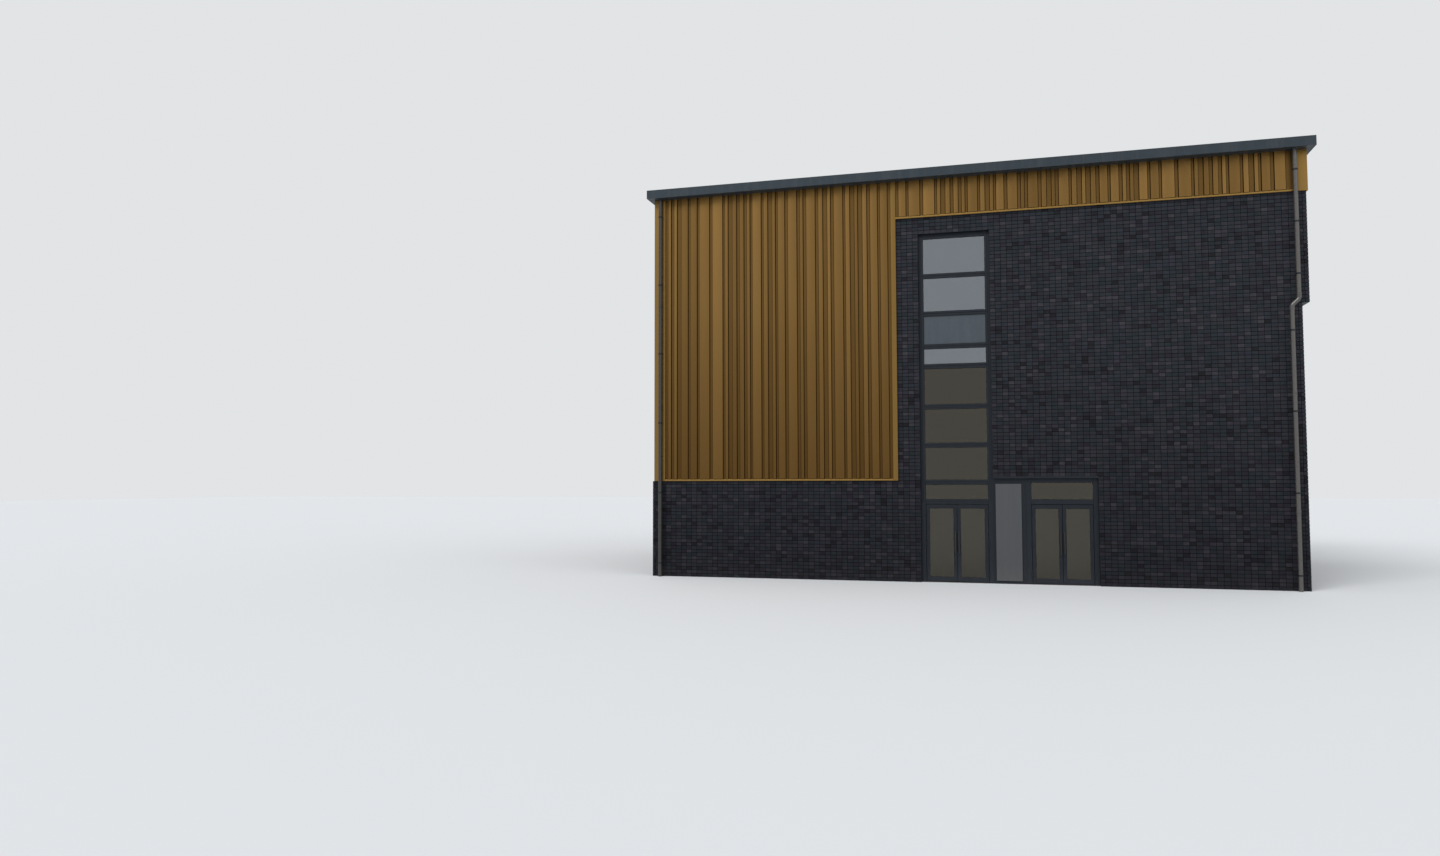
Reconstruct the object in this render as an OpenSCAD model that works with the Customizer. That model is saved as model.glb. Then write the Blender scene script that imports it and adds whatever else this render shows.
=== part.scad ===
// School building: a three-storey dark brick box with gold ribbed cladding,
// a flat roof, a tall strip window over a glazed double door, a flat grey
// panel and a second glazed double door. Millimetres, +Z up, front towards -Y.
// The origin is at the centre of the roof's plan, on the ground.

/* [Building] */
// Length of the front at the ground, from brick corner to brick corner
front_length = 17450; // [14000:50:24000]
// Depth from the front brick face to the back one
building_depth = 12600; // [9000:50:18000]
// Thickness of the outer walls
wall = 400; // [300:10:500]

/* [Storeys] */
// Top of the ground floor and of the thresholds above the ground outside
ground_floor_level = 20; // [15:5:60]
// Height from the ground outside to the top of the first floor
ground_storey_height = 3300; // [3150:10:3600]
// Height from the first floor to the second
middle_storey_height = 3700; // [3400:10:4200]
// Height from the second floor to the soffit under the eaves
top_storey_height = 4230; // [3800:10:5000]
// Thickness of each upper floor
floor_thickness = 300; // [200:10:350]

/* [Right corner] */
// How far the upper storeys step out over the ground storeys at the right
oversail = 170; // [60:5:220]
// Height of the step above the second floor
oversail_rise = 300; // [0:10:900]

/* [Roof] */
// Height of the fascia round the roof edge
fascia_height = 250; // [200:5:400]
// Thickness of the fascia
fascia_thickness = 40; // [20:1:60]
// Overhang in front of and behind the cladding
eaves_front = 300; // [150:5:600]
// Overhang past the cladding at both sides
eaves_side = 150; // [100:5:400]
// Thickness of the soffit boards
soffit_thickness = 20; // [12:1:30]
// Thickness of the roof covering
covering_thickness = 20; // [10:1:40]
// Height of the fascia above the roof covering
upstand = 30; // [10:1:60]

/* [Cladding] */
// How far the ribs of the cladding stand proud of the wall
clad_depth = 50; // [35:1:80]
// Thickness of the sheet between the ribs
clad_sheet = 12; // [6:1:20]
// Slant of a rib's flanks
rib_draft = 8; // [2:1:14]
// Setback of the left side's cladding behind the brick below it
left_setback = 60; // [20:5:100]
// How far the right side's band stands proud of the brick
right_proud = 30; // [20:1:60]
// Distance from the cladding panel on the front to the strip window
panel_gap = 606; // [300:2:1500]
// Drop of the panel's base below the first floor
panel_drop = 500; // [100:10:600]
// Height of the band below the eaves, with its base trim
band_height = 1066; // [700:2:1300]
// Height of the base trims
base_trim_height = 60; // [40:1:100]
// How far the trims stand in front of the ribs
trim_proud = 6; // [3:1:12]
// Width of the edge trim at the panel's right side
edge_trim_width = 130; // [80:5:200]
// Width of the flat corner trims
corner_trim_width = 340; // [320:5:420]
// Width of the corner trims' return round the corner
corner_return_width = 90; // [60:5:150]
// Widths of the ribs that the cladding mixes
rib_sizes = [100, 135, 215, 270, 320]; // [80:5:400]
// Widths of the grooves that the cladding mixes
groove_sizes = [65, 85, 125]; // [50:5:160]

/* [Strip window] */
// Left edge of the opening, from the left brick corner
strip_from = 7840; // [7500:10:8200]
// Width of the opening
strip_width = 1940; // [1600:10:2300]
// Distance of the opening's head below the band
strip_head_drop = 464; // [200:2:900]
// Width of the frame's jambs and head
strip_bar = 130; // [80:5:160]
// Height of the transoms
transom_height = 130; // [80:5:180]
// Distance from the first floor down to the transom under its spandrel pane
spandrel_1_drop = 550; // [350:5:600]
// Distance from the first floor up to the transom over its spandrel pane
spandrel_1_rise = 475; // [100:5:900]
// Distance from the second floor down to the transom under its spandrel pane
spandrel_2_drop = 470; // [400:5:900]
// Distance from the second floor up to the transom over its spandrel pane
spandrel_2_rise = 455; // [100:5:900]
// Places of the transoms between the two spandrel panes, as shares of that height
middle_shares = [0.3884, 0.7985]; // [0:0.0001:1]
// Place of the transom between the upper spandrel pane and the head, as a share
upper_share = 0.4722; // [0:0.0001:1]
// Depth of the frame
frame_depth = 100; // [70:5:140]
// Setback of the frames behind the brick face
frame_setback = 100; // [60:5:200]
// Thickness of the double glazing
glass_thickness = 28; // [20:1:44]

/* [Doors] */
// Underside of the transom over both doors
door_head = 2150; // [2050:10:2300]
// Gap round each leaf
leaf_gap = 10; // [8:1:14]
// Thickness of a leaf
leaf_thickness = 50; // [40:1:60]
// Setback of the leaves behind the frame's face
leaf_setback = 10; // [4:1:20]
// Width of a leaf's stiles
stile = 85; // [60:5:120]
// Height of a leaf's top rail
top_rail = 105; // [80:5:150]
// Height of the bottom rail of the first door's leaves
door_1_kick = 120; // [80:5:350]
// Height of the bottom rail of the second door's leaves
door_2_kick = 120; // [80:5:350]
// Diameter of the pull handles
handle_diameter = 30; // [20:1:36]
// Length of the pull handles
handle_length = 600; // [300:10:1200]
// Distance of the handles in front of the stile
handle_reach = 65; // [50:1:90]
// Height of the middle of the handles
handle_level = 1100; // [900:10:1200]
// Diameter of the posts that carry a handle
handle_post = 16; // [10:1:24]
// Diameter of the hinge knuckles
knuckle_diameter = 20; // [14:1:24]
// Height of a leaf's knuckle and of each of the frame's two
knuckle_height = 60; // [30:1:90]
// Gap between the knuckles
knuckle_gap = 0.3; // [0.2:0.1:0.8]
// Setting of the hinge pins in front of the frame
pin_forward = 14; // [13:1:20]
// Width of the hinge straps
strap_width = 40; // [30:1:60]
// Thickness of the hinge straps
strap_thickness = 12; // [6:1:14]
// Distance of the outer hinges from the ground and from the door's head
hinge_inset = 250; // [150:10:400]
// Distance from the strip window to the second door's frame
between_doors = 860; // [780:10:1500]
// Width of the second door's frame
door_2_width = 1840; // [1600:10:2100]
// Top of the second door's frame
door_2_head = 2850; // [2750:10:2950]
// Width of the second door's jambs
door_2_bar = 130; // [80:5:160]
// Height of the second door's head member
door_2_head_bar = 110; // [60:5:150]

/* [Grey panel] */
// Distance of the panel from the strip window
grey_gap = 62; // [20:2:90]
// Width of the panel
grey_width = 674; // [500:2:720]
// Bottom of the panel
grey_bottom = 84; // [20:2:150]
// Distance of the panel's top below the brickwork over it
grey_head_gap = 148; // [40:2:300]
// Thickness of the panel
grey_thickness = 40; // [20:1:60]
// Thickness of the dark backing round it
backing_thickness = 60; // [40:1:80]

/* [Downpipes] */
// Diameter of the pipes
pipe_diameter = 110; // [80:1:140]
// Distance of a pipe's centre from the wall's corner
pipe_from_corner = 275; // [240:5:310]
// Gap between a pipe and the face of the cladding
pipe_gap = 30; // [15:1:60]
// Diameter of the collars
collar_diameter = 130; // [115:1:160]
// Height of the collars
collar_height = 60; // [30:1:90]
// Height of the lowest bracket
bracket_bottom = 400; // [200:10:800]
// Distance of the highest bracket below the eaves
bracket_top_drop = 530; // [300:10:900]
// Distance of the brackets beside the step from the step
bracket_step_gap = 720; // [400:10:1200]
// Width of a bracket's arm
bracket_width = 40; // [20:1:60]

/* [Hidden] */
$fn = 48;

brick = "#2f3034";
gold = "#8f6a30";
dark = "#26292d";
steel = "#3d4247";
grey = "#6c7074";
glass = "#7f8f9c";

// Levels, from the ground up
first_floor_level = ground_storey_height;
second_floor_level = first_floor_level + middle_storey_height;
eaves_height = second_floor_level + top_storey_height;
oversail_level = second_floor_level + oversail_rise;
panel_bottom = first_floor_level - panel_drop;
band_bottom = eaves_height - band_height;
strip_head = band_bottom - strip_head_drop;
wall_top = eaves_height + soffit_thickness;
roof_top = eaves_height + fascia_height;
covering_top = roof_top - upstand;
deck_top = covering_top - covering_thickness;

// Plan positions, from the left brick corner and the front brick face
upper_length = front_length + oversail;
inner_left = wall;
inner_right = front_length - wall;
inner_front = wall;
inner_back = building_depth - wall;
upper_left = left_setback + clad_depth;
clad_left = left_setback;
clad_right = upper_length + right_proud;
panel_right = strip_from - panel_gap;
roof_left = clad_left - eaves_side;
roof_right = clad_right + eaves_side;
roof_front = -clad_depth - eaves_front;
roof_back = building_depth + clad_depth + eaves_front;
soffit_left = roof_left + fascia_thickness;
soffit_right = roof_right - fascia_thickness;
fascia_front = roof_front + fascia_thickness;
fascia_back = roof_back - fascia_thickness;
centre_x = (roof_left + roof_right) / 2;
centre_y = (roof_front + roof_back) / 2;

strip_to = strip_from + strip_width;
door_2_from = strip_to + between_doors;
door_2_to = door_2_from + door_2_width;
grey_from = strip_to + grey_gap;
grey_top = door_2_head - grey_head_gap;
frame_back = frame_setback + frame_depth;
door_bottom = ground_floor_level + leaf_gap;
door_top = door_head - leaf_gap;
leaf_front = frame_setback + leaf_setback;
hinge_levels = [hinge_inset, door_head / 2, door_head - hinge_inset];

// Centres of the transoms above the door, to the nearest millimetre
spandrel_1_top = first_floor_level + spandrel_1_rise;
spandrel_2_bottom = second_floor_level - spandrel_2_drop;
spandrel_2_top = second_floor_level + spandrel_2_rise;
transom_levels = [
    first_floor_level - spandrel_1_drop, spandrel_1_top,
    for (share = middle_shares) round(spandrel_1_top + share * (spandrel_2_bottom - spandrel_1_top)),
    spandrel_2_bottom, spandrel_2_top,
    round(spandrel_2_top + upper_share * (strip_head - spandrel_2_top))
];

// Order in which the cladding mixes its ribs and grooves
rib_order = [
    [0, 1], [0, 2], [2, 0], [2, 0], [4, 1], [4, 0], [0, 2], [1, 1], [1, 1],
    [0, 0], [3, 0], [1, 2], [0, 0], [2, 1], [3, 1], [0, 1], [3, 1], [1, 2],
    [0, 1], [3, 0], [1, 2], [0, 2], [1, 1], [2, 0], [2, 1]
];
// Places in that order at which the other faces start
band_start = 3;
left_start = 9;
right_start = 14;
back_start = 6;

function rib(i) = rib_sizes[rib_order[i % len(rib_order)][0]];
function groove(i) = groove_sizes[rib_order[i % len(rib_order)][1]];

// Starts of the ribs on a face of a given length, each as [place, width]
function ribs(length, i, at) =
    at + rib(i) > length - groove(i)
    ? []
    : concat([[at, rib(i)]], ribs(length, i + 1, at + rib(i) + groove(i)));

// What is left at the end of a face, as one last rib
function last_rib(length, list) =
    let (end = list[len(list) - 1], at = end[0] + end[1] + groove_sizes[0])
    length - groove_sizes[0] - at > rib_sizes[0] / 2 ? [[at, length - groove_sizes[0] - at]] : [];

// Points of a rib's trapezium, out of the sheet and back
function rib_points(r, depth) = [
    [r[0], -clad_sheet], [r[0] + rib_draft, -depth],
    [r[0] + r[1] - rib_draft, -depth], [r[0] + r[1], -clad_sheet]
];

// Moves the plan's left front corner so that the origin is under the roof's centre
module place() {
    translate([-centre_x, -centre_y, 0]) children();
}

module block(from, to) {
    translate(from) cube(to - from);
}

module wall_block(from, to) {
    color(brick) place() block(from, to);
}

// Ribbed sheet along +X from the origin, its back on the plane y = 0
module ribbed_sheet(length, height, start, depth = clad_depth) {
    full = ribs(length, start, groove_sizes[1]);
    list = concat(full, last_rib(length, full));
    outline = concat(
        [[0, 0], [0, -clad_sheet]],
        [for (r = list) each rib_points(r, depth)],
        [[length, -clad_sheet], [length, 0]]
    );
    color(gold) linear_extrude(height) polygon(outline);
}

// Floors, which run out between the walls to the frames of the windows and doors
module floor_slab(top, thickness, front_to) {
    color("#8d8c88") place() translate([0, 0, top - thickness]) linear_extrude(thickness) polygon([
        [inner_left, inner_front], [strip_from, inner_front], [strip_from, frame_back],
        [front_to, frame_back], [front_to, inner_front], [inner_right, inner_front],
        [inner_right, inner_back], [strip_to, inner_back],
        [strip_to, building_depth - frame_back], [strip_from, building_depth - frame_back],
        [strip_from, inner_back], [inner_left, inner_back]
    ]);
}

module ground_floor() { floor_slab(ground_floor_level, ground_floor_level, door_2_to); }
module first_floor() { floor_slab(first_floor_level, floor_thickness, strip_to); }
module second_floor() { floor_slab(second_floor_level, floor_thickness, strip_to); }

// Roof
module roof_layer(bottom, top) {
    place() block([soffit_left, fascia_front, bottom], [soffit_right, fascia_back, top]);
}

module roof_deck() { color("#777b7e") roof_layer(wall_top, deck_top); }
module roof_covering() { color("#55595c") roof_layer(deck_top, covering_top); }

// Fascia boards round the roof edge, each with its soffit board behind it
module front_fascia() {
    color(dark) place() {
        block([roof_left, roof_front, eaves_height], [roof_right, fascia_front, roof_top]);
        block([soffit_left, fascia_front, eaves_height], [soffit_right, 0, wall_top]);
    }
}

module back_fascia() {
    color(dark) place() {
        block([roof_left, fascia_back, eaves_height], [roof_right, roof_back, roof_top]);
        block([soffit_left, building_depth, eaves_height], [soffit_right, fascia_back, wall_top]);
    }
}

module left_fascia() {
    color(dark) place() {
        block([roof_left, fascia_front, eaves_height], [soffit_left, fascia_back, roof_top]);
        block([soffit_left, 0, eaves_height], [upper_left, building_depth, wall_top]);
    }
}

module right_fascia() {
    color(dark) place() {
        block([soffit_right, fascia_front, eaves_height], [roof_right, fascia_back, roof_top]);
        block([upper_length, 0, eaves_height], [soffit_right, building_depth, wall_top]);
    }
}

// Walls
module front_wall_plinth() {
    wall_block([0, 0, 0], [strip_from, wall, panel_bottom]);
}

module front_wall_upper_left() {
    wall_block([upper_left, 0, panel_bottom], [strip_from, wall, wall_top]);
}

module front_wall_over_strip() {
    wall_block([strip_from, 0, strip_head], [strip_to, wall, wall_top]);
}

module front_wall_over_doors() {
    wall_block([strip_to, 0, door_2_head], [door_2_to, wall, wall_top]);
}

module front_wall_right_lower() {
    wall_block([door_2_to, 0, 0], [front_length, wall, oversail_level]);
}

module front_wall_right_upper() {
    wall_block([door_2_to, 0, oversail_level], [upper_length, wall, wall_top]);
}

module left_wall_plinth() {
    wall_block([0, wall, 0], [inner_left, building_depth, panel_bottom]);
}

module left_wall_upper() {
    wall_block([upper_left, wall, panel_bottom], [inner_left, building_depth, wall_top]);
}

module right_wall_lower() {
    wall_block([inner_right, wall, 0], [front_length, building_depth, oversail_level]);
}

module right_wall_upper() {
    wall_block([inner_right, wall, oversail_level], [upper_length, building_depth, wall_top]);
}

module back_wall_left() {
    wall_block([inner_left, inner_back, 0], [strip_from, building_depth, wall_top]);
}

module back_wall_right() {
    wall_block([strip_to, inner_back, 0], [inner_right, building_depth, wall_top]);
}

module back_wall_over_window() {
    wall_block([strip_from, inner_back, strip_head], [strip_to, building_depth, wall_top]);
}

// Cladding
module front_cladding() {
    from = clad_left + corner_trim_width;
    bottom = panel_bottom + base_trim_height;
    place() translate([from, 0, bottom])
        ribbed_sheet(panel_right - edge_trim_width - from, eaves_height - bottom, 0);
}

module front_band() {
    bottom = band_bottom + base_trim_height;
    place() translate([panel_right, 0, bottom])
        ribbed_sheet(clad_right - corner_trim_width - panel_right, eaves_height - bottom, band_start);
}

module left_cladding() {
    place() translate([upper_left, building_depth, panel_bottom]) rotate([0, 0, -90])
        ribbed_sheet(building_depth - corner_return_width, eaves_height - panel_bottom, left_start);
}

module right_band() {
    place() translate([upper_length, corner_return_width, band_bottom]) rotate([0, 0, 90])
        ribbed_sheet(
            building_depth - corner_return_width, eaves_height - band_bottom, right_start, right_proud
        );
}

module back_band() {
    place() translate([upper_length, building_depth, band_bottom]) rotate([0, 0, 180])
        ribbed_sheet(upper_length - upper_left, eaves_height - band_bottom, back_start);
}

// Edge trim beside the panel and base trims under the panel and the band
module front_cladding_trim() {
    face = -clad_depth - trim_proud;
    color(gold) place() {
        block(
            [panel_right - edge_trim_width, face, panel_bottom],
            [panel_right, 0, eaves_height]
        );
        block(
            [clad_left + corner_trim_width, face, panel_bottom],
            [panel_right, 0, panel_bottom + base_trim_height]
        );
        block(
            [panel_right, face, band_bottom],
            [clad_right - corner_trim_width, 0, band_bottom + base_trim_height]
        );
    }
}

// Flat angles that close the cladding at the two front corners
module corner_trims() {
    color(gold) place() {
        translate([0, 0, panel_bottom]) linear_extrude(eaves_height - panel_bottom) polygon([
            [clad_left, -clad_depth], [clad_left + corner_trim_width, -clad_depth],
            [clad_left + corner_trim_width, 0], [upper_left, 0],
            [upper_left, corner_return_width], [clad_left, corner_return_width]
        ]);
        translate([0, 0, band_bottom]) linear_extrude(eaves_height - band_bottom) polygon([
            [clad_right, -clad_depth], [clad_right, corner_return_width],
            [upper_length, corner_return_width], [upper_length, 0],
            [clad_right - corner_trim_width, 0], [clad_right - corner_trim_width, -clad_depth]
        ]);
    }
}

// Strip window
module frame_member(from, to) {
    block([from[0], frame_setback, from[1]], [to[0], frame_back, to[1]]);
}

// Bars of a strip window as [underside, top], over a sill of a given height
function strip_bars(sill) = concat(
    [[0, sill], [door_head, door_head + transom_height]],
    [for (level = transom_levels) [level - transom_height / 2, level + transom_height / 2]],
    [[strip_head - strip_bar, strip_head]]
);

// Gaps between the bars from a given bar up, as [bottom, top]
function strip_gaps(bars, first) =
    [for (i = [first : len(bars) - 2]) [bars[i][1], bars[i + 1][0]]];

// Tells whether a gap hides the edge of a floor
function hides_floor(gap, top) = gap[0] < top - floor_thickness / 2 && gap[1] > top - floor_thickness / 2;

module strip_frame(sill) {
    frame_member([0, 0], [strip_bar, strip_head]);
    frame_member([strip_width - strip_bar, 0], [strip_width, strip_head]);
    for (bar = strip_bars(sill))
        frame_member([strip_bar, bar[0]], [strip_width - strip_bar, bar[1]]);
}

module strip_pane(gap, from, thickness) {
    block([strip_bar, from, gap[0]], [strip_width - strip_bar, from + thickness, gap[1]]);
}

glass_front = frame_setback + (frame_depth - glass_thickness) / 2;
glass_back = glass_front + glass_thickness;
spandrel_thickness = frame_back - glass_back;

module at_front_strip() {
    place() translate([strip_from, 0, 0]) children();
}

module at_back_strip() {
    place() translate([strip_to, building_depth, 0]) rotate([0, 0, 180]) children();
}

module strip_window_frame() {
    color(dark) {
        at_front_strip() strip_frame(ground_floor_level);
        frame_knuckles(strip_from + strip_bar, strip_to - strip_bar);
    }
}

module front_glazing() {
    color(glass) {
        at_front_strip()
            for (gap = strip_gaps(strip_bars(ground_floor_level), 1)) strip_pane(gap, glass_front, glass_thickness);
        place() block(
            [door_2_from + door_2_bar, glass_front, door_head + transom_height],
            [door_2_to - door_2_bar, glass_back, door_2_head - door_2_head_bar]
        );
    }
}

module spandrels() {
    for (gap = strip_gaps(strip_bars(ground_floor_level), 1))
        if (hides_floor(gap, first_floor_level) || hides_floor(gap, second_floor_level))
            strip_pane(gap, glass_back, spandrel_thickness);
}

module spandrel_panels() {
    color(steel) {
        at_front_strip() spandrels();
        at_back_strip() spandrels();
    }
}

module back_window_frame() {
    color(dark) at_back_strip() strip_frame(strip_bar);
}

module back_glazing() {
    color(glass) at_back_strip()
        for (gap = strip_gaps(strip_bars(strip_bar), 0)) strip_pane(gap, glass_front, glass_thickness);
}

// Grey panel
module grey_panel() {
    color(grey) place() block(
        [grey_from, frame_setback - grey_thickness, grey_bottom],
        [grey_from + grey_width, frame_setback, grey_top]
    );
}

module panel_backing() {
    color(dark) place() block(
        [strip_to, frame_setback, 0],
        [door_2_from, frame_setback + backing_thickness, door_2_head]
    );
}

// Doors
module door_2_frame() {
    inner_from = door_2_from + door_2_bar;
    inner_to = door_2_to - door_2_bar;
    color(dark) {
        place() {
            frame_member([door_2_from, 0], [inner_from, door_2_head]);
            frame_member([inner_to, 0], [door_2_to, door_2_head]);
            frame_member([inner_from, 0], [inner_to, ground_floor_level]);
            frame_member([inner_from, door_head], [inner_to, door_head + transom_height]);
            frame_member([inner_from, door_2_head - door_2_head_bar], [inner_to, door_2_head]);
        }
        frame_knuckles(inner_from, inner_to);
    }
}

pin_y = frame_setback - pin_forward;

// Hinge knuckles that the jambs of a doorway carry, over and under the leaves' own
module frame_knuckles(from, to) {
    place() {
        translate([from + leaf_gap / 2, pin_y, 0]) jamb_knuckles();
        translate([to - leaf_gap / 2, pin_y, 0]) mirror([1, 0, 0]) jamb_knuckles();
    }
}

module jamb_knuckles() {
    for (level = hinge_levels, side = [-1, 1])
        translate([0, 0, level + side * (knuckle_height + knuckle_gap) - knuckle_height / 2]) {
            cylinder(h = knuckle_height, d = knuckle_diameter);
            block(
                [-strap_width, pin_forward - strap_thickness, 0],
                [0, pin_forward, knuckle_height]
            );
        }
}

// Knuckles and straps of a leaf, about its pin
module leaf_knuckles() {
    for (level = hinge_levels)
        translate([0, 0, level - knuckle_height / 2]) {
            cylinder(h = knuckle_height, d = knuckle_diameter);
            block([0, 0, 0], [knuckle_diameter / 2, pin_forward, knuckle_height]);
            block(
                [0, pin_forward + leaf_setback - strap_thickness, 0],
                [strap_width, pin_forward + leaf_setback, knuckle_height]
            );
        }
}

// Vertical bar on two posts in front of a leaf's face
module pull_handle() {
    translate([0, -handle_reach, handle_level - handle_length / 2])
        cylinder(h = handle_length, d = handle_diameter);
    for (side = [-1, 1])
        translate([0, 0, handle_level + side * (handle_length / 2 - handle_diameter * 2)])
            rotate([90, 0, 0]) cylinder(h = handle_reach, d = handle_post);
}

function leaf_width(from, to) = (to - from - 3 * leaf_gap) / 2;

// Leaf with its hinges on the left, its pin on the line x = 0, y = pin_y
module leaf_frame(width, kick) {
    edge = leaf_gap / 2;
    difference() {
        block(
            [edge, leaf_front, door_bottom],
            [edge + width, leaf_front + leaf_thickness, door_top]
        );
        block(
            [edge + stile, leaf_front - leaf_thickness, door_bottom + kick],
            [edge + width - stile, leaf_front + leaf_thickness * 2, door_top - top_rail]
        );
    }
    translate([0, pin_y, 0]) leaf_knuckles();
    translate([edge + width - stile / 2, leaf_front, 0]) pull_handle();
}

module leaf_glass(width, kick) {
    middle = leaf_front + leaf_thickness / 2;
    block(
        [leaf_gap / 2 + stile, middle - glass_thickness / 2, door_bottom + kick],
        [leaf_gap / 2 + width - stile, middle + glass_thickness / 2, door_top - top_rail]
    );
}

// Places a left or a right leaf's shape in a doorway between two jambs
module hang_left(from) {
    place() translate([from + leaf_gap / 2, 0, 0]) children();
}

module hang_right(to) {
    place() translate([to - leaf_gap / 2, 0, 0]) mirror([1, 0, 0]) children();
}

door_1_a = strip_from + strip_bar;
door_1_b = strip_to - strip_bar;
door_2_a = door_2_from + door_2_bar;
door_2_b = door_2_to - door_2_bar;
leaf_1 = leaf_width(door_1_a, door_1_b);
leaf_2 = leaf_width(door_2_a, door_2_b);

module door_1_left_leaf() { color(dark) hang_left(door_1_a) leaf_frame(leaf_1, door_1_kick); }
module door_1_left_glass() { color(glass) hang_left(door_1_a) leaf_glass(leaf_1, door_1_kick); }
module door_1_right_leaf() { color(dark) hang_right(door_1_b) leaf_frame(leaf_1, door_1_kick); }
module door_1_right_glass() { color(glass) hang_right(door_1_b) leaf_glass(leaf_1, door_1_kick); }
module door_2_left_leaf() { color(dark) hang_left(door_2_a) leaf_frame(leaf_2, door_2_kick); }
module door_2_left_glass() { color(glass) hang_left(door_2_a) leaf_glass(leaf_2, door_2_kick); }
module door_2_right_leaf() { color(dark) hang_right(door_2_b) leaf_frame(leaf_2, door_2_kick); }
module door_2_right_glass() { color(glass) hang_right(door_2_b) leaf_glass(leaf_2, door_2_kick); }

// Downpipes
pipe_y = -clad_depth - pipe_gap - pipe_diameter / 2;

module pipe_run(x, from, to) {
    translate([x, pipe_y, from]) cylinder(h = to - from, d = pipe_diameter);
}

// Collar on a pipe, with an arm back to the wall or to the cladding
module pipe_bracket(x, level, clad_from) {
    back = level > clad_from ? -clad_depth : 0;
    translate([x, pipe_y, level - collar_height / 2]) cylinder(h = collar_height, d = collar_diameter);
    block(
        [x - bracket_width / 2, pipe_y, level - collar_height / 2],
        [x + bracket_width / 2, back, level + collar_height / 2]
    );
}

// Whole heights spaced evenly between two, both of them included
function spaced(from, to, count) = [for (i = [0 : count - 1]) round(from + (to - from) * i / (count - 1))];

bracket_top = eaves_height - bracket_top_drop;

module downpipe_left() {
    color(steel) place() {
        pipe_run(pipe_from_corner, 0, eaves_height);
        for (level = spaced(bracket_bottom, bracket_top, 6))
            pipe_bracket(pipe_from_corner, level, panel_bottom);
    }
}

// The right pipe follows the step in the wall with a swan neck
module downpipe_right() {
    low_x = front_length - pipe_from_corner;
    high_x = upper_length - pipe_from_corner;
    neck_from = oversail_level - oversail / 2;
    neck_to = oversail_level + oversail / 2;
    color(steel) place() {
        pipe_run(low_x, 0, neck_from);
        pipe_run(high_x, neck_to, eaves_height);
        hull() {
            translate([low_x, pipe_y, neck_from - collar_height])
                cylinder(h = collar_height, d = collar_diameter, $fn = 32);
            translate([high_x, pipe_y, neck_to])
                cylinder(h = collar_height, d = collar_diameter, $fn = 32);
        }
        for (level = spaced(bracket_bottom, oversail_level - bracket_step_gap, 4))
            pipe_bracket(low_x, level, band_bottom);
        for (level = spaced(oversail_level + bracket_step_gap, bracket_top, 3))
            pipe_bracket(high_x, level, band_bottom);
    }
}

ground_floor();
first_floor();
second_floor();
roof_deck();
roof_covering();
front_wall_plinth();
front_wall_upper_left();
front_wall_over_strip();
front_wall_over_doors();
front_wall_right_lower();
front_wall_right_upper();
left_wall_plinth();
left_wall_upper();
right_wall_lower();
right_wall_upper();
back_wall_left();
back_wall_right();
back_wall_over_window();
front_fascia();
back_fascia();
left_fascia();
right_fascia();
front_cladding();
front_band();
left_cladding();
right_band();
back_band();
front_cladding_trim();
corner_trims();
strip_window_frame();
front_glazing();
spandrel_panels();
back_window_frame();
back_glazing();
grey_panel();
panel_backing();
door_2_frame();
door_1_left_leaf();
door_1_left_glass();
door_1_right_leaf();
door_1_right_glass();
door_2_left_leaf();
door_2_left_glass();
door_2_right_leaf();
door_2_right_glass();
downpipe_left();
downpipe_right();
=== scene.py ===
"""Looks of a dark brick school building with gold ribbed cladding."""
import itertools
import math
import random

import bmesh
import bpy
import numpy as np
from mathutils import Matrix, Vector


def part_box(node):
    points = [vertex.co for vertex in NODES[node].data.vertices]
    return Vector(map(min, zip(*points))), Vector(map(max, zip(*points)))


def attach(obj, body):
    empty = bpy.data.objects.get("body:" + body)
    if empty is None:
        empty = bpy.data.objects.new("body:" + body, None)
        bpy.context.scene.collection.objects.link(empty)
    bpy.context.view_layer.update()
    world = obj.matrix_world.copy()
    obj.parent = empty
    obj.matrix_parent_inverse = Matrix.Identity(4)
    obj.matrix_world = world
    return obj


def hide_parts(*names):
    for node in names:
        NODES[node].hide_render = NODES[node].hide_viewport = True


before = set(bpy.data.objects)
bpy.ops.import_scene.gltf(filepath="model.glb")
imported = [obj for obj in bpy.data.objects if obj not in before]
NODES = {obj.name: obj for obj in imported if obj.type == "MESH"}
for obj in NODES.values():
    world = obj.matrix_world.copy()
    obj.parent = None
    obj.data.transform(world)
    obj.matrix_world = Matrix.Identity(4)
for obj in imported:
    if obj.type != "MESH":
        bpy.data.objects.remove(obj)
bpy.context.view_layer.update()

# The photograph's camera, found from the roof line, the base line, the window's bars and the courses
CAMERA_PLACE = (1.228, -34.996, 2.731)
CAMERA_TURN = -15.59
CAMERA_TILT = 3.11
CAMERA_ROLL = -0.10
FOCAL_PIXELS = 1017.98
PHOTO_WIDTH = 1440
SENSOR = 36.0
FARTHEST_SEEN = 400


def make_camera():
    """Stands the camera where the photograph was taken from."""
    turn, tilt, roll = (math.radians(a) for a in (CAMERA_TURN, CAMERA_TILT, CAMERA_ROLL))
    ahead = Vector((math.sin(turn), math.cos(turn), 0))
    right = Vector((math.cos(turn), -math.sin(turn), 0))
    up = Vector((0, 0, 1))
    forward = ahead * math.cos(tilt) + up * math.sin(tilt)
    upward = up * math.cos(tilt) - ahead * math.sin(tilt)
    across = right * math.cos(roll) + upward * math.sin(roll)
    upward = upward * math.cos(roll) - right * math.sin(roll)
    data = bpy.data.cameras.new("camera")
    data.sensor_width = SENSOR
    data.lens = FOCAL_PIXELS / PHOTO_WIDTH * SENSOR
    data.clip_end = FARTHEST_SEEN
    camera = bpy.data.objects.new("camera", data)
    turned = Matrix((across, upward, -forward)).transposed().to_4x4()
    camera.matrix_world = Matrix.Translation(CAMERA_PLACE) @ turned
    bpy.context.scene.collection.objects.link(camera)
    bpy.context.scene.camera = camera


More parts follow.
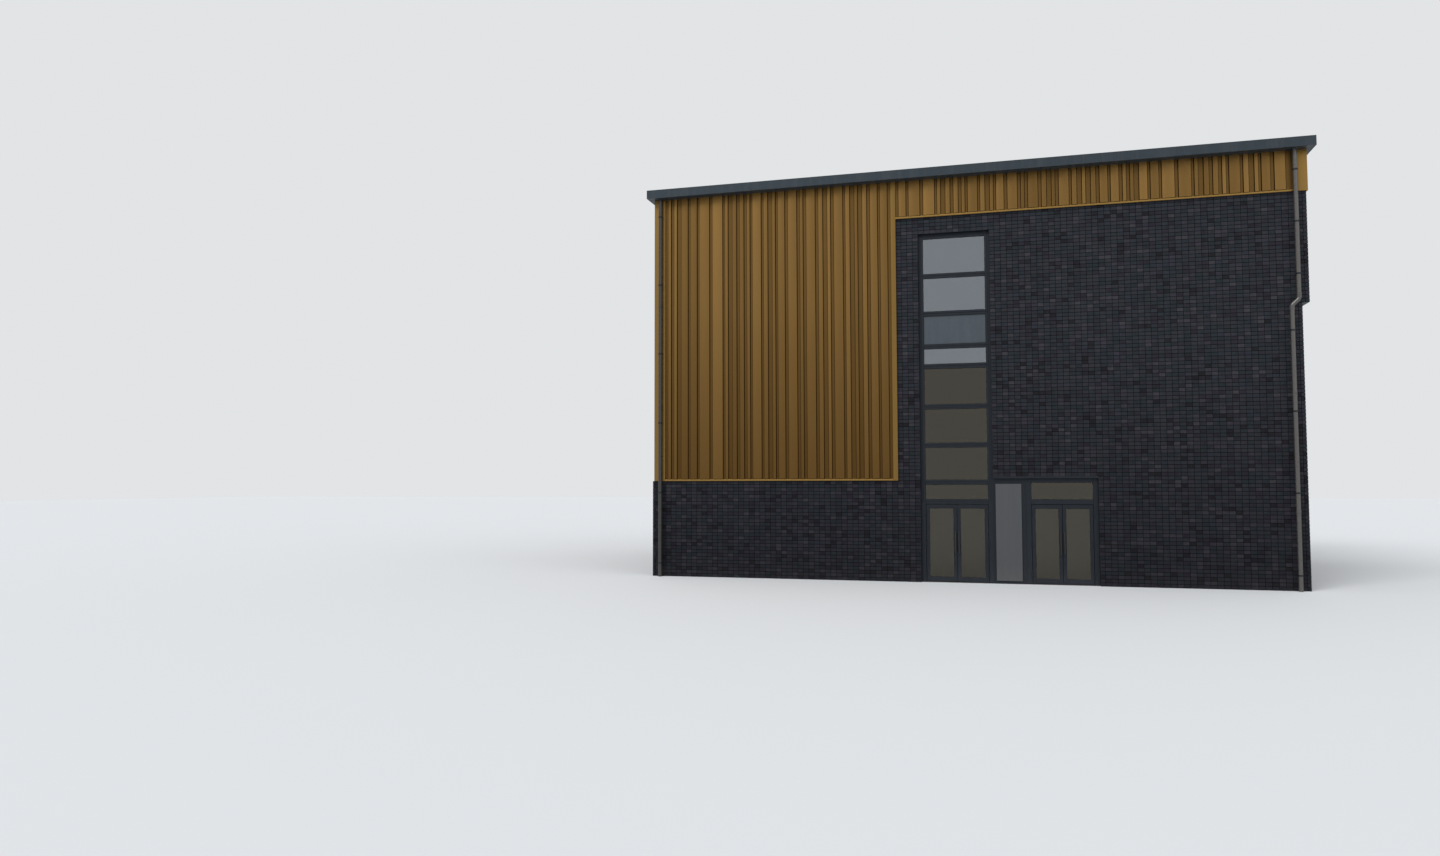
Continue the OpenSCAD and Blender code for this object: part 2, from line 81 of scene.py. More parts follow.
make_camera()

# Places of the building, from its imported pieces
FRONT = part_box("front_wall_plinth")[0].y
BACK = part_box("back_wall_left")[1].y
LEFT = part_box("front_wall_plinth")[0].x
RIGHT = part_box("right_wall_lower")[1].x
UPPER_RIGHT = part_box("right_wall_upper")[1].x
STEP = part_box("right_wall_upper")[0].z
PANEL_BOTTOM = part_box("left_cladding")[0].z
BAND_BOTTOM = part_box("back_band")[0].z
PANEL_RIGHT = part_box("front_band")[0].x
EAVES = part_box("front_fascia")[0].z
FRAME_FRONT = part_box("panel_backing")[0].y
FRAME_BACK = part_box("back_window_frame")[0].y * -1
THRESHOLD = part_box("ground_floor")[1].z

# Distance under which two places count as one
NEAR = 0.001

# Shader building


def linear(red, green, blue):
    """A colour given as 0 to 255 on screen, in the values that the shaders use."""
    shares = (red / 255, green / 255, blue / 255)
    parts = (s / 12.92 if s <= 0.04045 else ((s + 0.055) / 1.055) ** 2.4 for s in shares)
    return (*parts, 1.0)


def put(tree, kind, values=None, **settings):
    """A new node of a shader tree. An input takes an output or a plain value, and None leaves it."""
    node = tree.nodes.new(kind)
    for name, value in settings.items():
        setattr(node, name, value)
    for name, value in (values or {}).items():
        if isinstance(value, bpy.types.NodeSocket):
            tree.links.new(value, node.inputs[name])
        elif value is not None:
            node.inputs[name].default_value = value
    return node


def reckon(tree, operation, first, second, held=False):
    """A sum on two values, each an output or a number."""
    return put(tree, "ShaderNodeMath", {0: first, 1: second}, operation=operation, use_clamp=held).outputs[0]


def stretched(tree, spot, stretch):
    """A place with its three parts multiplied."""
    return put(tree, "ShaderNodeVectorMath", {0: spot, 1: stretch}, operation="MULTIPLY").outputs[0]


def remap(tree, value, low, high, first=0.0, last=1.0):
    """A value moved from one range to another, and held inside it."""
    return put(tree, "ShaderNodeMapRange", {0: value, 1: low, 2: high, 3: first, 4: last}).outputs[0]


def noise(tree, spot, scale, detail, roughness=0.5):
    """Noise over the surface, at a size in grains per metre."""
    values = {"Vector": spot, "Scale": scale, "Detail": detail, "Roughness": roughness}
    return put(tree, "ShaderNodeTexNoise", values).outputs[0]


def object_spot(tree):
    """The place on a piece, in metres."""
    return put(tree, "ShaderNodeTexCoord").outputs["Object"]


def height_of(tree, spot):
    """The height of a place over the ground."""
    return put(tree, "ShaderNodeSeparateXYZ", {0: spot}).outputs[2]


def blend_colours(tree, share, first, second, way="MIX"):
    """A mix of two colours, each an output or a colour."""
    values = {0: share, 6: first, 7: second}
    return put(tree, "ShaderNodeMix", values, data_type="RGBA", blend_type=way).outputs[2]


def effect(name, build, defaults):
    """A node group with named inputs, whose outputs are those that its build function gives."""
    tree = bpy.data.node_groups.new(name, "ShaderNodeTree")
    for label, value in defaults.items():
        parts = len(value) if hasattr(value, "__len__") else 1
        kind = {1: "NodeSocketFloat", 3: "NodeSocketVector", 4: "NodeSocketColor"}[parts]
        tree.interface.new_socket(label, in_out="INPUT", socket_type=kind).default_value = value
    found = build(tree, tree.nodes.new("NodeGroupInput").outputs)
    for label in found:
        kind = "NodeSocketColor" if label == "Color" else "NodeSocketFloat"
        tree.interface.new_socket(label, in_out="OUTPUT", socket_type=kind)
    put(tree, "NodeGroupOutput", found)
    return tree


def fine_grain(tree, given):
    """Fine grain of a surface: a height and a shade, at a size in grains per metre."""
    spot = stretched(tree, object_spot(tree), given["Stretch"])
    fine = noise(tree, spot, given["Scale"], 5.0, 0.62)
    broad = noise(tree, spot, reckon(tree, "MULTIPLY", given["Scale"], 0.13), 2.0)
    shade = reckon(tree, "MULTIPLY", reckon(tree, "ADD", fine, broad), 0.5, held=True)
    return {"Height": fine, "Shade": shade}


def piece_tone(tree, given):
    """The tone that a brick, rib or sheet was given, between two colours."""
    tone = put(tree, "ShaderNodeAttribute", attribute_name="tone").outputs["Fac"]
    return {"Color": blend_colours(tree, tone, given["Dark"], given["Light"]), "Tone": tone}


def rain_marks(tree, given):
    """Marks that rain and dust leave: upright streaks, and splashes near the ground."""
    spot = object_spot(tree)
    runs = noise(tree, stretched(tree, spot, (1.0, 1.0, 0.07)), 7.0, 4.0, 0.6)
    streaks = reckon(tree, "MULTIPLY", remap(tree, runs, 0.48, 0.75), given["Streaks"])
    share = reckon(tree, "DIVIDE", height_of(tree, spot), given["Splash Height"])
    low = reckon(tree, "SUBTRACT", 1.0, share, held=True)
    splash = reckon(tree, "MULTIPLY", low, noise(tree, spot, 9.0, 6.0))
    return {"Mask": reckon(tree, "ADD", streaks, splash, held=True)}


def worn_edges(tree, given):
    """Where edges are rubbed bright: the difference between the true and the rounded normal."""
    rounded = put(tree, "ShaderNodeBevel", {"Radius": given["Width"]}, samples=4).outputs[0]
    flat = put(tree, "ShaderNodeNewGeometry").outputs["Normal"]
    match = put(tree, "ShaderNodeVectorMath", {0: rounded, 1: flat}, operation="DOT_PRODUCT")
    edge = reckon(tree, "SUBTRACT", 1.0, match.outputs["Value"], held=True)
    broken = reckon(tree, "MULTIPLY", edge, noise(tree, object_spot(tree), 40.0, 5.0))
    return {"Mask": reckon(tree, "MULTIPLY", broken, 6.0, held=True)}


def height_fade(tree, given):
    """A share that falls from 1 at one height to 0 at another, with a cloudy edge."""
    spot = object_spot(tree)
    level = reckon(tree, "ADD", height_of(tree, spot), noise(tree, spot, 0.9, 3.0))
    return {"Mask": remap(tree, level, given["Low"], given["High"], 1.0, 0.0)}


GRAIN = effect("fine_grain", fine_grain, {"Scale": 60.0, "Stretch": (1.0, 1.0, 1.0)})
TONE = effect("piece_tone", piece_tone, {"Dark": (0.0, 0.0, 0.0, 1.0), "Light": (1.0, 1.0, 1.0, 1.0)})
RAIN = effect("rain_marks", rain_marks, {"Splash Height": 0.5, "Streaks": 0.5})
WEAR = effect("worn_edges", worn_edges, {"Width": 0.004})
FADE = effect("height_fade", height_fade, {"Low": 0.0, "High": 4.0})


def placed(tree, group, values=None):
    """One of the effects above in a material, with that material's own values."""
    return put(tree, "ShaderNodeGroup", values, node_tree=group).outputs


def raised(tree, height, distance, under=None):
    """The normal of a surface raised by a height, over another normal."""
    values = {"Distance": distance, "Height": height, "Normal": under}
    return put(tree, "ShaderNodeBump", values).outputs[0]


def varied(tree, colour, shade, amount):
    """A colour made lighter and darker by a shade."""
    grey = remap(tree, shade, 0.25, 0.75, 1 - amount, 1 + amount)
    return blend_colours(tree, 1.0, colour, grey, "MULTIPLY")


def tinted(tree, colour, mask, share, tint):
    """A colour with a share of another over it where a mask is."""
    return blend_colours(tree, reckon(tree, "MULTIPLY", mask, share), colour, linear(*tint))


def new_finish(name, shader_values):
    """A material with its Principled shader, whose plain values are set on the shader itself."""
    finish = bpy.data.materials.new(name)
    finish.use_nodes = True
    shader = finish.node_tree.nodes["Principled BSDF"]
    for label, value in shader_values.items():
        shader.inputs[label].default_value = value
    return finish, finish.node_tree, shader.inputs


def wired(finish, tree, shader, colour, roughness, normal):
    """A material whose shader follows a colour, a roughness and a normal."""
    for label, output in (("Base Color", colour), ("Roughness", roughness), ("Normal", normal)):
        tree.links.new(output, shader[label])
    return finish


# Finishes, with the shares of the marks on them
DUST_SHARE = 0.22
DULLED_SHARE = 0.2
RUBBED_WIDTH = 0.004
MIDDLE_TONE = 0.48
# How far brick tones spread apart and darken towards the bottom
CONTRAST_BELOW = 0.3
DARKENING_BELOW = 0.45
BRICK_MARKS_SHARE = 0.14
FILM_SHARE = 0.4
FILM_ROUGHNESS = 0.04
HAZE = 14
PANE_RIPPLE = 0.0006

# Brick colours along the tones, from dark to light
BRICK_SHADES = (
    (0.0, (28, 28, 32)), (0.2, (41, 38, 46)), (0.38, (34, 41, 45)), (0.55, (45, 45, 50)),
    (0.7, (39, 44, 50)), (0.86, (50, 47, 55)), (1.0, (55, 54, 59)),
)


def coated_metal(
    name, dark, light, roughness, metallic, grain=90.0, depth=0.0002, stretch=(1, 1, 1), spread=0.1,
    dust=(120, 116, 108), streaks=0.25, splash=0.5, waves=0.0, wear=0.0, bare=(150, 148, 142),
    sheen=(255, 255, 255), colour_below=(0, 0, 0), fade=(0.0, 1.0, 0.0),
):
    """Painted or anodised sheet metal: tones, grain, rain marks, slight waves and rubbed edges."""
    finish, tree, shader = new_finish(name, {"Metallic": metallic, "Specular Tint": linear(*sheen)})
    grains = placed(tree, GRAIN, {"Scale": grain, "Stretch": stretch})
    colour = placed(tree, TONE, {"Dark": linear(*dark), "Light": linear(*light)})["Color"]
    colour = varied(tree, colour, grains["Shade"], spread)
    marks = placed(tree, RAIN, {"Splash Height": splash, "Streaks": streaks})["Mask"]
    colour = tinted(tree, colour, marks, DUST_SHARE, dust)
    # A darker colour towards the bottom, where a fade is given, by a share that falls with height
    low, high, cover = fade
    if cover:
        darker = placed(tree, FADE, {"Low": low, "High": high})["Mask"]
        colour = tinted(tree, colour, darker, cover, colour_below)
    if wear:
        colour = tinted(tree, colour, placed(tree, WEAR, {"Width": RUBBED_WIDTH})["Mask"], wear, bare)
    gloss = remap(tree, grains["Shade"], 0.2, 0.8, roughness - 0.07, roughness + 0.07)
    gloss = reckon(tree, "ADD", gloss, reckon(tree, "MULTIPLY", marks, DULLED_SHARE), held=True)
    normal = raised(tree, grains["Height"], depth)
    if waves:
        swell = placed(tree, GRAIN, {"Scale": 2.2, "Stretch": (3.0, 3.0, 0.5)})["Height"]
        normal = raised(tree, swell, waves, normal)
    return wired(finish, tree, shader, colour, gloss, normal)


def brick_finish():
    """Dark fired clay in a few near tones, with a sanded face and faint rain marks."""
    finish, tree, shader = new_finish("dark_brick", {"Metallic": 0.0, "Specular IOR Level": 0.08})
    tone = placed(tree, TONE)["Tone"]
    # Darker, with tones spread wider apart, towards the bottom
    lower_down = placed(tree, FADE, {"Low": 0.4, "High": 7.0})["Mask"]
    off_middle = reckon(tree, "SUBTRACT", tone, MIDDLE_TONE)
    stretch = reckon(tree, "MULTIPLY", off_middle, reckon(tree, "MULTIPLY", lower_down, CONTRAST_BELOW))
    ramp = put(tree, "ShaderNodeValToRGB", {0: reckon(tree, "ADD", tone, stretch, held=True)})
    bar = ramp.color_ramp
    while len(bar.elements) < len(BRICK_SHADES):
        bar.elements.new(0.5)
    for element, (place, shade) in zip(bar.elements, BRICK_SHADES):
        element.position = place
        element.color = linear(*shade)
    grains = placed(tree, GRAIN, {"Scale": 85.0})
    colour = varied(tree, ramp.outputs[0], grains["Shade"], 0.3)
    marks = placed(tree, RAIN, {"Splash Height": 0.7, "Streaks": 0.5})["Mask"]
    colour = tinted(tree, colour, marks, BRICK_MARKS_SHARE, (82, 79, 74))
    colour = tinted(tree, colour, lower_down, DARKENING_BELOW, (10, 8, 15))
    gloss = remap(tree, grains["Shade"], 0.25, 0.75, 0.5, 0.78)
    folds = placed(tree, GRAIN, {"Scale": 22.0, "Stretch": (0.5, 0.5, 2.2)})["Height"]
    normal = raised(tree, folds, 0.003, raised(tree, grains["Height"], 0.002))
    return wired(finish, tree, shader, colour, gloss, normal)


def rough_finish(
    name, dark, light, grain, depth, roughness=0.85, stains=(80, 76, 70), stain=0.25, shine=0.35,
):
    """A mineral surface such as mortar, plaster, concrete or roofing felt."""
    finish, tree, shader = new_finish(name, {"Metallic": 0.0, "Specular IOR Level": shine})
    grains = placed(tree, GRAIN, {"Scale": grain})
    colour = blend_colours(tree, grains["Shade"], linear(*dark), linear(*light))
    clouds = placed(tree, GRAIN, {"Scale": 1.4})["Shade"]
    cover = remap(tree, clouds, 0.5, 0.72, 0.0, stain)
    colour = blend_colours(tree, cover, colour, linear(*stains))
    gloss = remap(tree, grains["Shade"], 0.2, 0.8, roughness - 0.1, roughness + 0.1)
    return wired(finish, tree, shader, colour, gloss, raised(tree, grains["Height"], depth))


def pane_finish(name, tint, ior, sheen):
    """Tinted, coated glass with the slight ripple of toughened panes and a film of dust; its tint and
    specular tint hold a painted reflection.
    """
    finish, tree, shader = new_finish(name, {
        "Metallic": 0.0, "Transmission Weight": 1.0, "IOR": ior, "Specular Tint": linear(*sheen),
    })
    dusty = placed(tree, RAIN, {"Splash Height": 0.4, "Streaks": 0.6})["Mask"]
    film = remap(tree, dusty, 0.0, 1.0, 0.0, FILM_ROUGHNESS)
    colour = tinted(tree, linear(*tint), dusty, FILM_SHARE, [min(255, part + HAZE) for part in tint])
    swell = placed(tree, GRAIN, {"Scale": 1.6})["Height"]
    return wired(finish, tree, shader, colour, film, raised(tree, swell, PANE_RIPPLE))


BRICK = brick_finish()
MORTAR = rough_finish(
    "dark_mortar", (5, 5, 6), (12, 12, 12), 140.0, 0.0012, 0.9, (24, 23, 22), 0.2, 0.08
)
PLASTER = rough_finish("wall_plaster", (128, 127, 123), (142, 141, 137), 60.0, 0.0004, 0.9)
CONCRETE = rough_finish("floor_screed", (112, 110, 106), (136, 134, 129), 45.0, 0.0005, 0.8)
FELT = rough_finish("roof_membrane", (70, 73, 75), (98, 101, 103), 180.0, 0.0009, 0.9, (84, 85, 82), 0.4)
GOLD_COAT = {
    "metallic": 0.7, "grain": 400.0, "depth": 0.00004, "spread": 0.04, "dust": (112, 92, 58), "splash": 0.1,
}
# The gold darkens towards the bottom, fading in from 8.6 m down to 3.4 m
GOLD = coated_metal(
    "gold_cladding", (25, 11, 1), (126, 97, 54), 0.38, waves=0.004, sheen=(223, 174, 111),
    colour_below=(54, 31, 6), fade=(3.4, 8.6, 0.42), **GOLD_COAT,
)
GOLD_EDGE = coated_metal(
    "gold_trim", (92, 70, 33), (138, 109, 60), 0.36, wear=0.3, bare=(176, 156, 112),
    sheen=(230, 190, 130), **GOLD_COAT,
)
FASCIA = coated_metal(
    "fascia_metal", (40, 47, 52), (53, 59, 64), 0.45, 0.1, streaks=0.6, waves=0.002, wear=0.25,
    dust=(96, 96, 94), bare=(120, 122, 124), sheen=(164, 182, 196),
)
# The frame's bluish specular tint is a painted reflection of blue sky
FRAME = coated_metal(
    "frame_dark", (11, 14, 18), (17, 21, 26), 0.5, 0.1, grain=260.0, depth=0.00008, wear=0.1,
    dust=(76, 80, 86), bare=(96, 100, 106), sheen=(206, 215, 228),
)
DECK = coated_metal("roof_deck", (120, 123, 125), (150, 152, 153), 0.5, 0.4, streaks=0.1)
SPANDREL = coated_metal("spandrel_grey", (50, 59, 67), (68, 77, 84), 0.35, 0.1, streaks=0.3)
SLATE_PANEL = coated_metal(
    "grey_panel", (64, 65, 68), (72, 73, 76), 0.45, 0.15, grain=200.0, depth=0.0001, waves=0.0015,
    wear=0.25,
)
PIPE = coated_metal("pipe_grey", (36, 34, 34), (92, 90, 87), 0.28, 0.5, wear=0.3)
STEEL = coated_metal(
    "brushed_steel", (54, 54, 54), (74, 73, 71), 0.36, 0.85, grain=300.0, stretch=(1, 1, 0.04),
    streaks=0.05, dust=(96, 94, 90),
)
RUBBER = rough_finish("black_gasket", (16, 16, 17), (26, 26, 27), 220.0, 0.0003, 0.7)
# One glass in two tints: the upper panes' pale blue tint and bluish specular tint are a painted sky
# reflection; the lower panes', fanlight's and doors' dark warm tint is a painted reflection of trees
SKY_REFLECTION_PANE = pane_finish("upper_pane_painted_sky_reflection", (122, 130, 136), 2.9, (236, 242, 249))
TREE_REFLECTION_PANE = pane_finish("lower_pane_painted_tree_reflection", (98, 96, 86), 1.74, (253, 245, 226))

# Mesh building

UP = (0, 0, 1)
FORWARD = (0, -1, 0)
FINE_EDGE = 0.001
SMALL_EDGE = 0.002
BAR_EDGE = 0.004

# Small round parts, by radius, depth, broken edge and sides
RIVET = (0.007, 0.005, 0.002, 10)
SCREW = (0.0045, 0.002, 0.0008, 12)
HINGE_CAP = (0.006, 0.006, 0.002, 16)
HANDLE_ROSE = (0.018, 0.008, 0.002, 24)
LOCK = (0.016, 0.006, 0.002, 24)


def for_each(value, count):
    """A list with one value for each item, from such a list or from one number."""
    return list(value) if hasattr(value, "__len__") else [value] * count


def at(run, along, across, level):
    """A point given along and across a run, which is 0 along X and 1 along Y."""
    return (along, across, level) if run == 0 else (across, along, level)


class Stock:
    """Points and faces of one piece, with the finish and the tone of each face."""

    def __init__(self):
        self.points = []
        self.faces = []
        self.finishes = []
        self.tones = []

    def add(self, points, faces, finish=0, tone=0.5):
        """Adds a closed shape. Tone is one number, or one for each face."""
        first = len(self.points)
        self.points.extend(tuple(point) for point in points)
        self.faces.extend([first + i for i in face] for face in faces)
        self.finishes.extend([finish] * len(faces))
        self.tones.extend(for_each(tone, len(faces)))


def chamfered_layout():
    """Spots and faces of a block whose edges and corners are cut off."""
    corners = list(itertools.product((0, 1), repeat=3))
    spots = [(corner, axis) for corner in corners for axis in range(3)]
    number = {spot: i for i, spot in enumerate(spots)}
    rings = [
        [number[c, axis] for c in corners if c[axis] == side] for axis in range(3) for side in (0, 1)
    ]
    for a, b in itertools.combinations(corners, 2):
        apart = [axis for axis in range(3) if a[axis] != b[axis]]
        if len(apart) == 1:
            rings.append([number[c, axis] for c in (a, b) for axis in range(3) if axis != apart[0]])
    rings.extend([number[c, axis] for axis in range(3)] for c in corners)
    rough = [Vector(c[k] if k == axis else 0.2 + 0.6 * c[k] for k in range(3)) for c, axis in spots]
    faces = []
    for ring in rings:
        middle = sum((rough[i] for i in ring), Vector()) / len(ring)
        outward = (middle - Vector((0.5, 0.5, 0.5))).normalized()
        first = (rough[ring[0]] - middle).normalized()
        second = outward.cross(first)
        faces.append(sorted(ring, key=lambda i: math.atan2(
            (rough[i] - middle).dot(second), (rough[i] - middle).dot(first)
        )))
    return spots, faces


CUT_SPOTS, CUT_FACES = chamfered_layout()
PLAIN_FACES = [[0, 1, 3, 2], [4, 6, 7, 5], [0, 4, 5, 1], [2, 3, 7, 6], [0, 2, 6, 4], [1, 5, 7, 3]]
LARGEST_CUT = 0.45


def block(stock, corner, opposite, edge=0.003, finish=0, tone=0.5):
    """A block between two opposite corners, with broken edges unless edge is 0."""
    ends = [sorted(pair) for pair in zip(corner, opposite)]
    if not edge:
        points = [[ends[k][c[k]] for k in range(3)] for c in itertools.product((0, 1), repeat=3)]
        stock.add(points, PLAIN_FACES, finish, tone)
        return
    edge = min(edge, *((high - low) * LARGEST_CUT for low, high in ends))
    points = [
        [ends[k][c[k]] + (0 if k == axis else edge * (1 - 2 * c[k])) for k in range(3)]
        for c, axis in CUT_SPOTS
    ]
    stock.add(points, CUT_FACES, finish, tone)


def extrude(stock, outline, way, finish=0, tone=0.5):
    """A prism on an outline. Way gives the point for two outline numbers and an end, 0 or 1."""
    count = len(outline)
    points = [way(a, b, end) for end in (0, 1) for a, b in outline]
    faces = [[i, (i + 1) % count, (i + 1) % count + count, i + count] for i in range(count)]
    faces += [list(range(count))[::-1], list(range(count, 2 * count))]
    stock.add(points, faces, finish, tone)


def stand_up(stock, outline, bottom, top, tone=0.5):
    """An upright prism on an outline given in plan."""
    extrude(stock, outline, lambda x, y, end: (x, y, (bottom, top)[end]), 0, tone)


def rounded_corner(before, corner, after, radius, steps=2):
    """Points that round off a corner between the two beside it."""
    corner = Vector(corner)
    arms = [Vector(end) - corner for end in (before, after)]
    reach = min(radius, *(arm.length * LARGEST_CUT for arm in arms))
    start, end = (corner + arm.normalized() * reach for arm in arms)
    shares = [i / steps for i in range(steps + 1)]
    return [tuple(start * (1 - t) ** 2 + corner * 2 * t * (1 - t) + end * t * t) for t in shares]


def softened(outline, radius, steps=2):
    """An outline whose corners are rounded off."""
    trios = zip(outline[-1:] + outline[:-1], outline, outline[1:] + outline[:1])
    return [point for trio in trios for point in rounded_corner(*trio, radius, steps)]


def tube(stock, path, radius, sides=24, finish=0, tone=0.5):
    """A round bar along a path, closed at both ends. Radius is one number, or one for each point."""
    path = [Vector(point) for point in path]
    last = len(path) - 1
    side = (path[1] - path[0]).normalized().orthogonal().normalized()
    points = []
    for i, (point, wide) in enumerate(zip(path, for_each(radius, len(path)))):
        ahead = (path[min(i + 1, last)] - path[max(i - 1, 0)]).normalized()
        side = (side - ahead * side.dot(ahead)).normalized()
        other = ahead.cross(side)
        for k in range(sides):
            turn = 2 * math.pi * k / sides
            points.append(point + (side * math.cos(turn) + other * math.sin(turn)) * wide)
    faces = [
        [i * sides + k, i * sides + (k + 1) % sides, (i + 1) * sides + (k + 1) % sides, (i + 1) * sides + k]
        for i in range(last) for k in range(sides)
    ]
    faces += [list(range(sides))[::-1], [last * sides + k for k in range(sides)]]
    stock.add(points, faces, finish, tone)


def collar(stock, centre, axis, size, finish=0, tone=0.5):
    """A disc or collar with a broken edge, centred on a point and turned to an axis."""
    radius, depth, edge, sides = size
    centre, axis, half = Vector(centre), Vector(axis), depth / 2
    places = (-half, edge - half, half - edge, half)
    radii = (radius - edge, radius, radius, radius - edge)
    tube(stock, [centre + axis * place for place in places], radii, sides, finish, tone)


def ring(stock, low, high, width, near, far, edge=0.003, finish=0):
    """Four bars round an upright rectangle given by (x, z) corners, from near to far in Y."""
    (x0, z0), (x1, z1) = low, high
    block(stock, (x0, near, z0), (x0 + width, far, z1), edge, finish)
    block(stock, (x1 - width, near, z0), (x1, far, z1), edge, finish)
    block(stock, (x0 + width, near, z0), (x1 - width, far, z0 + width), edge, finish)
    block(stock, (x0 + width, near, z1 - width), (x1 - width, far, z1), edge, finish)


def make(name, stock, finishes, node, body="building", crease=32):
    """Turns a stock into a piece that rides on its body and stands for its CAD node."""
    mesh = bpy.data.meshes.new(name)
    mesh.from_pydata(stock.points, [], stock.faces)
    for finish in finishes:
        mesh.materials.append(finish)
    mesh.polygons.foreach_set("material_index", stock.finishes)
    shaped = bmesh.new()
    shaped.from_mesh(mesh)
    bmesh.ops.recalc_face_normals(shaped, faces=shaped.faces)
    shaped.to_mesh(mesh)
    shaped.free()
    totals = np.zeros(len(mesh.polygons), int)
    mesh.polygons.foreach_get("loop_total", totals)
    tones = np.repeat(np.array(stock.tones, np.float32), totals)
    shades = mesh.color_attributes.new("tone", "FLOAT_COLOR", "CORNER")
    shades.data.foreach_set("color", np.column_stack([tones, tones, tones, np.ones_like(tones)]).ravel())
    mesh.shade_smooth()
    mesh.set_sharp_from_angle(angle=math.radians(crease))
    piece = bpy.data.objects.new(name, mesh)
    bpy.context.scene.collection.objects.link(piece)
    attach(piece, body)
    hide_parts(node)


def dress(finish, *nodes):
    """Gives CAD pieces that stay as they are their finish."""
    for node in nodes:
        piece = NODES[node]
        if not piece.material_slots:
            piece.data.materials.append(finish)
        for place in piece.material_slots:
            place.material = finish


def corners_of(node):
    """Places of the corners of a CAD piece."""
    return np.array([corner.co for corner in NODES[node].data.vertices])


def spans_of(places):
    """Starts and ends, two by two, among the different places in a list."""
    edges = sorted(set(np.round(places, 4).tolist()))
    return list(zip(edges[::2], edges[1::2]))


# Brick walls

COURSE = 0.1
BRICK_PITCH = 0.1583
CORNER_BRICK = 0.096
JOINT = 0.012
UPRIGHT_JOINT = 0.009
JOINT_RECESS = 0.009
BRICK_DEPTH = 0.09
SLIP_DEPTH = 0.014
BRICK_EDGE = 0.0025
LEAF = 0.13
SHORTEST_CUT = 0.045
TONE_SPREAD = 0.25
BRICK_SEED = 11
ANGLE_SETBACK = 0.004
STEP_SETBACK = 0.01

# Underside and top of the steel on the step, from the step's level
STEP_STEEL = (-0.002, 0.004)

# Walls of the building, each with the side on which an opening's jamb ends it, if any
WALLS = {
    "front_wall_plinth": "right", "front_wall_upper_left": "right", "front_wall_over_strip": None,
    "front_wall_over_doors": "left", "front_wall_right_lower": "left", "front_wall_right_upper": None,
    "left_wall_plinth": None, "left_wall_upper": None, "right_wall_lower": None,
    "right_wall_upper": None, "back_wall_left": "right", "back_wall_right": "left",
    "back_wall_over_window": None,
}
WALL_BOXES = {name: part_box(name) for name in WALLS}

# Planes of the outer faces, by the axis that they look along and their side
OUTER_PLANES = {(1, -1): (FRONT,), (1, 1): (BACK,), (0, -1): (LEFT,), (0, 1): (RIGHT, UPPER_RIGHT)}
CORNER_PLACES = (LEFT, RIGHT, UPPER_RIGHT, FRONT, BACK)

# Faces of a brick slip, whose points are three rings of four
SLIP_FACES = [[0, 1, 2, 3], [11, 10, 9, 8]] + [
    [row + i, row + (i + 1) % 4, row + 4 + (i + 1) % 4, row + 4 + i] for row in (0, 4) for i in range(4)
]


def is_at(place, planes):
    """Tells whether a place is at one of some planes."""
    return any(abs(place - plane) < NEAR for plane in planes)


def walls_showing(out, side, level):
    """Walls on an outer face at a level, as [start, end, plane], joined where they meet."""
    found = []
    for low, high in WALL_BOXES.values():
        plane = (high if side > 0 else low)[out]
        if low.z + NEAR < level < high.z and is_at(plane, OUTER_PLANES[out, side]):
            found.append((low[1 - out], high[1 - out], plane))
    joined = []
    for start, end, plane in sorted(found):
        if joined and start - joined[-1][1] < NEAR:
            joined[-1][1] = max(end, joined[-1][1])
        else:
            joined.append([start, end, plane])
    return joined


def hidden_by_cladding(out, side, end, level):
    """Tells whether a brick is wholly behind the gold cladding."""
    if level > BAND_BOTTOM + COURSE / 2:
        return True
    if level < PANEL_BOTTOM or side > 0:
        return False
    return out == 0 or end < PANEL_RIGHT - COURSE


def turns_corner(run, place, level):
    """Tells whether a wall's end is a corner where brickwork turns."""
    return is_at(place, CORNER_PLACES) and (run == 1 or place > LEFT + COURSE or level < PANEL_BOTTOM)


def owner_of(point):
    """The wall whose box holds a point, or None."""
    for name, (low, high) in WALL_BOXES.items():
        if all(low[k] - NEAR <= point[k] <= high[k] + NEAR for k in range(3)):
            return name
    return None


def upright_joints(run, start, end):
    """Where the upright joints between two ends stand, in line above each other all the way up."""
    near, far = ((LEFT, RIGHT), (FRONT, BACK))[run]
    length = far - near - 2 * CORNER_BRICK
    pitch = length / round(length / BRICK_PITCH)
    first = near + CORNER_BRICK
    place = first + math.ceil((start + SHORTEST_CUT - first) / pitch) * pitch
    while place < end - SHORTEST_CUT:
        yield place
        place += pitch


def lay_brick(stock, run, side, plane, ends, levels, whole, tone):
    """One brick: a slip with broken front edges, or a whole one where its side shows."""
    (start, end), (bottom, top) = ends, levels
    back = plane - side * (BRICK_DEPTH if whole else SLIP_DEPTH)
    if whole:
        block(stock, at(run, start, plane, bottom), at(run, end, back, top), BRICK_EDGE, 0, tone)
        return
    points = []
    for place, inset in ((plane, BRICK_EDGE), (plane - side * BRICK_EDGE, 0), (back, 0)):
        low, high = (start + inset, bottom + inset), (end - inset, top - inset)
        for along, level in (low, (high[0], low[1]), high, (low[0], high[1])):
            points.append(at(run, along, place, level))
    stock.add(points, SLIP_FACES, 0, tone)


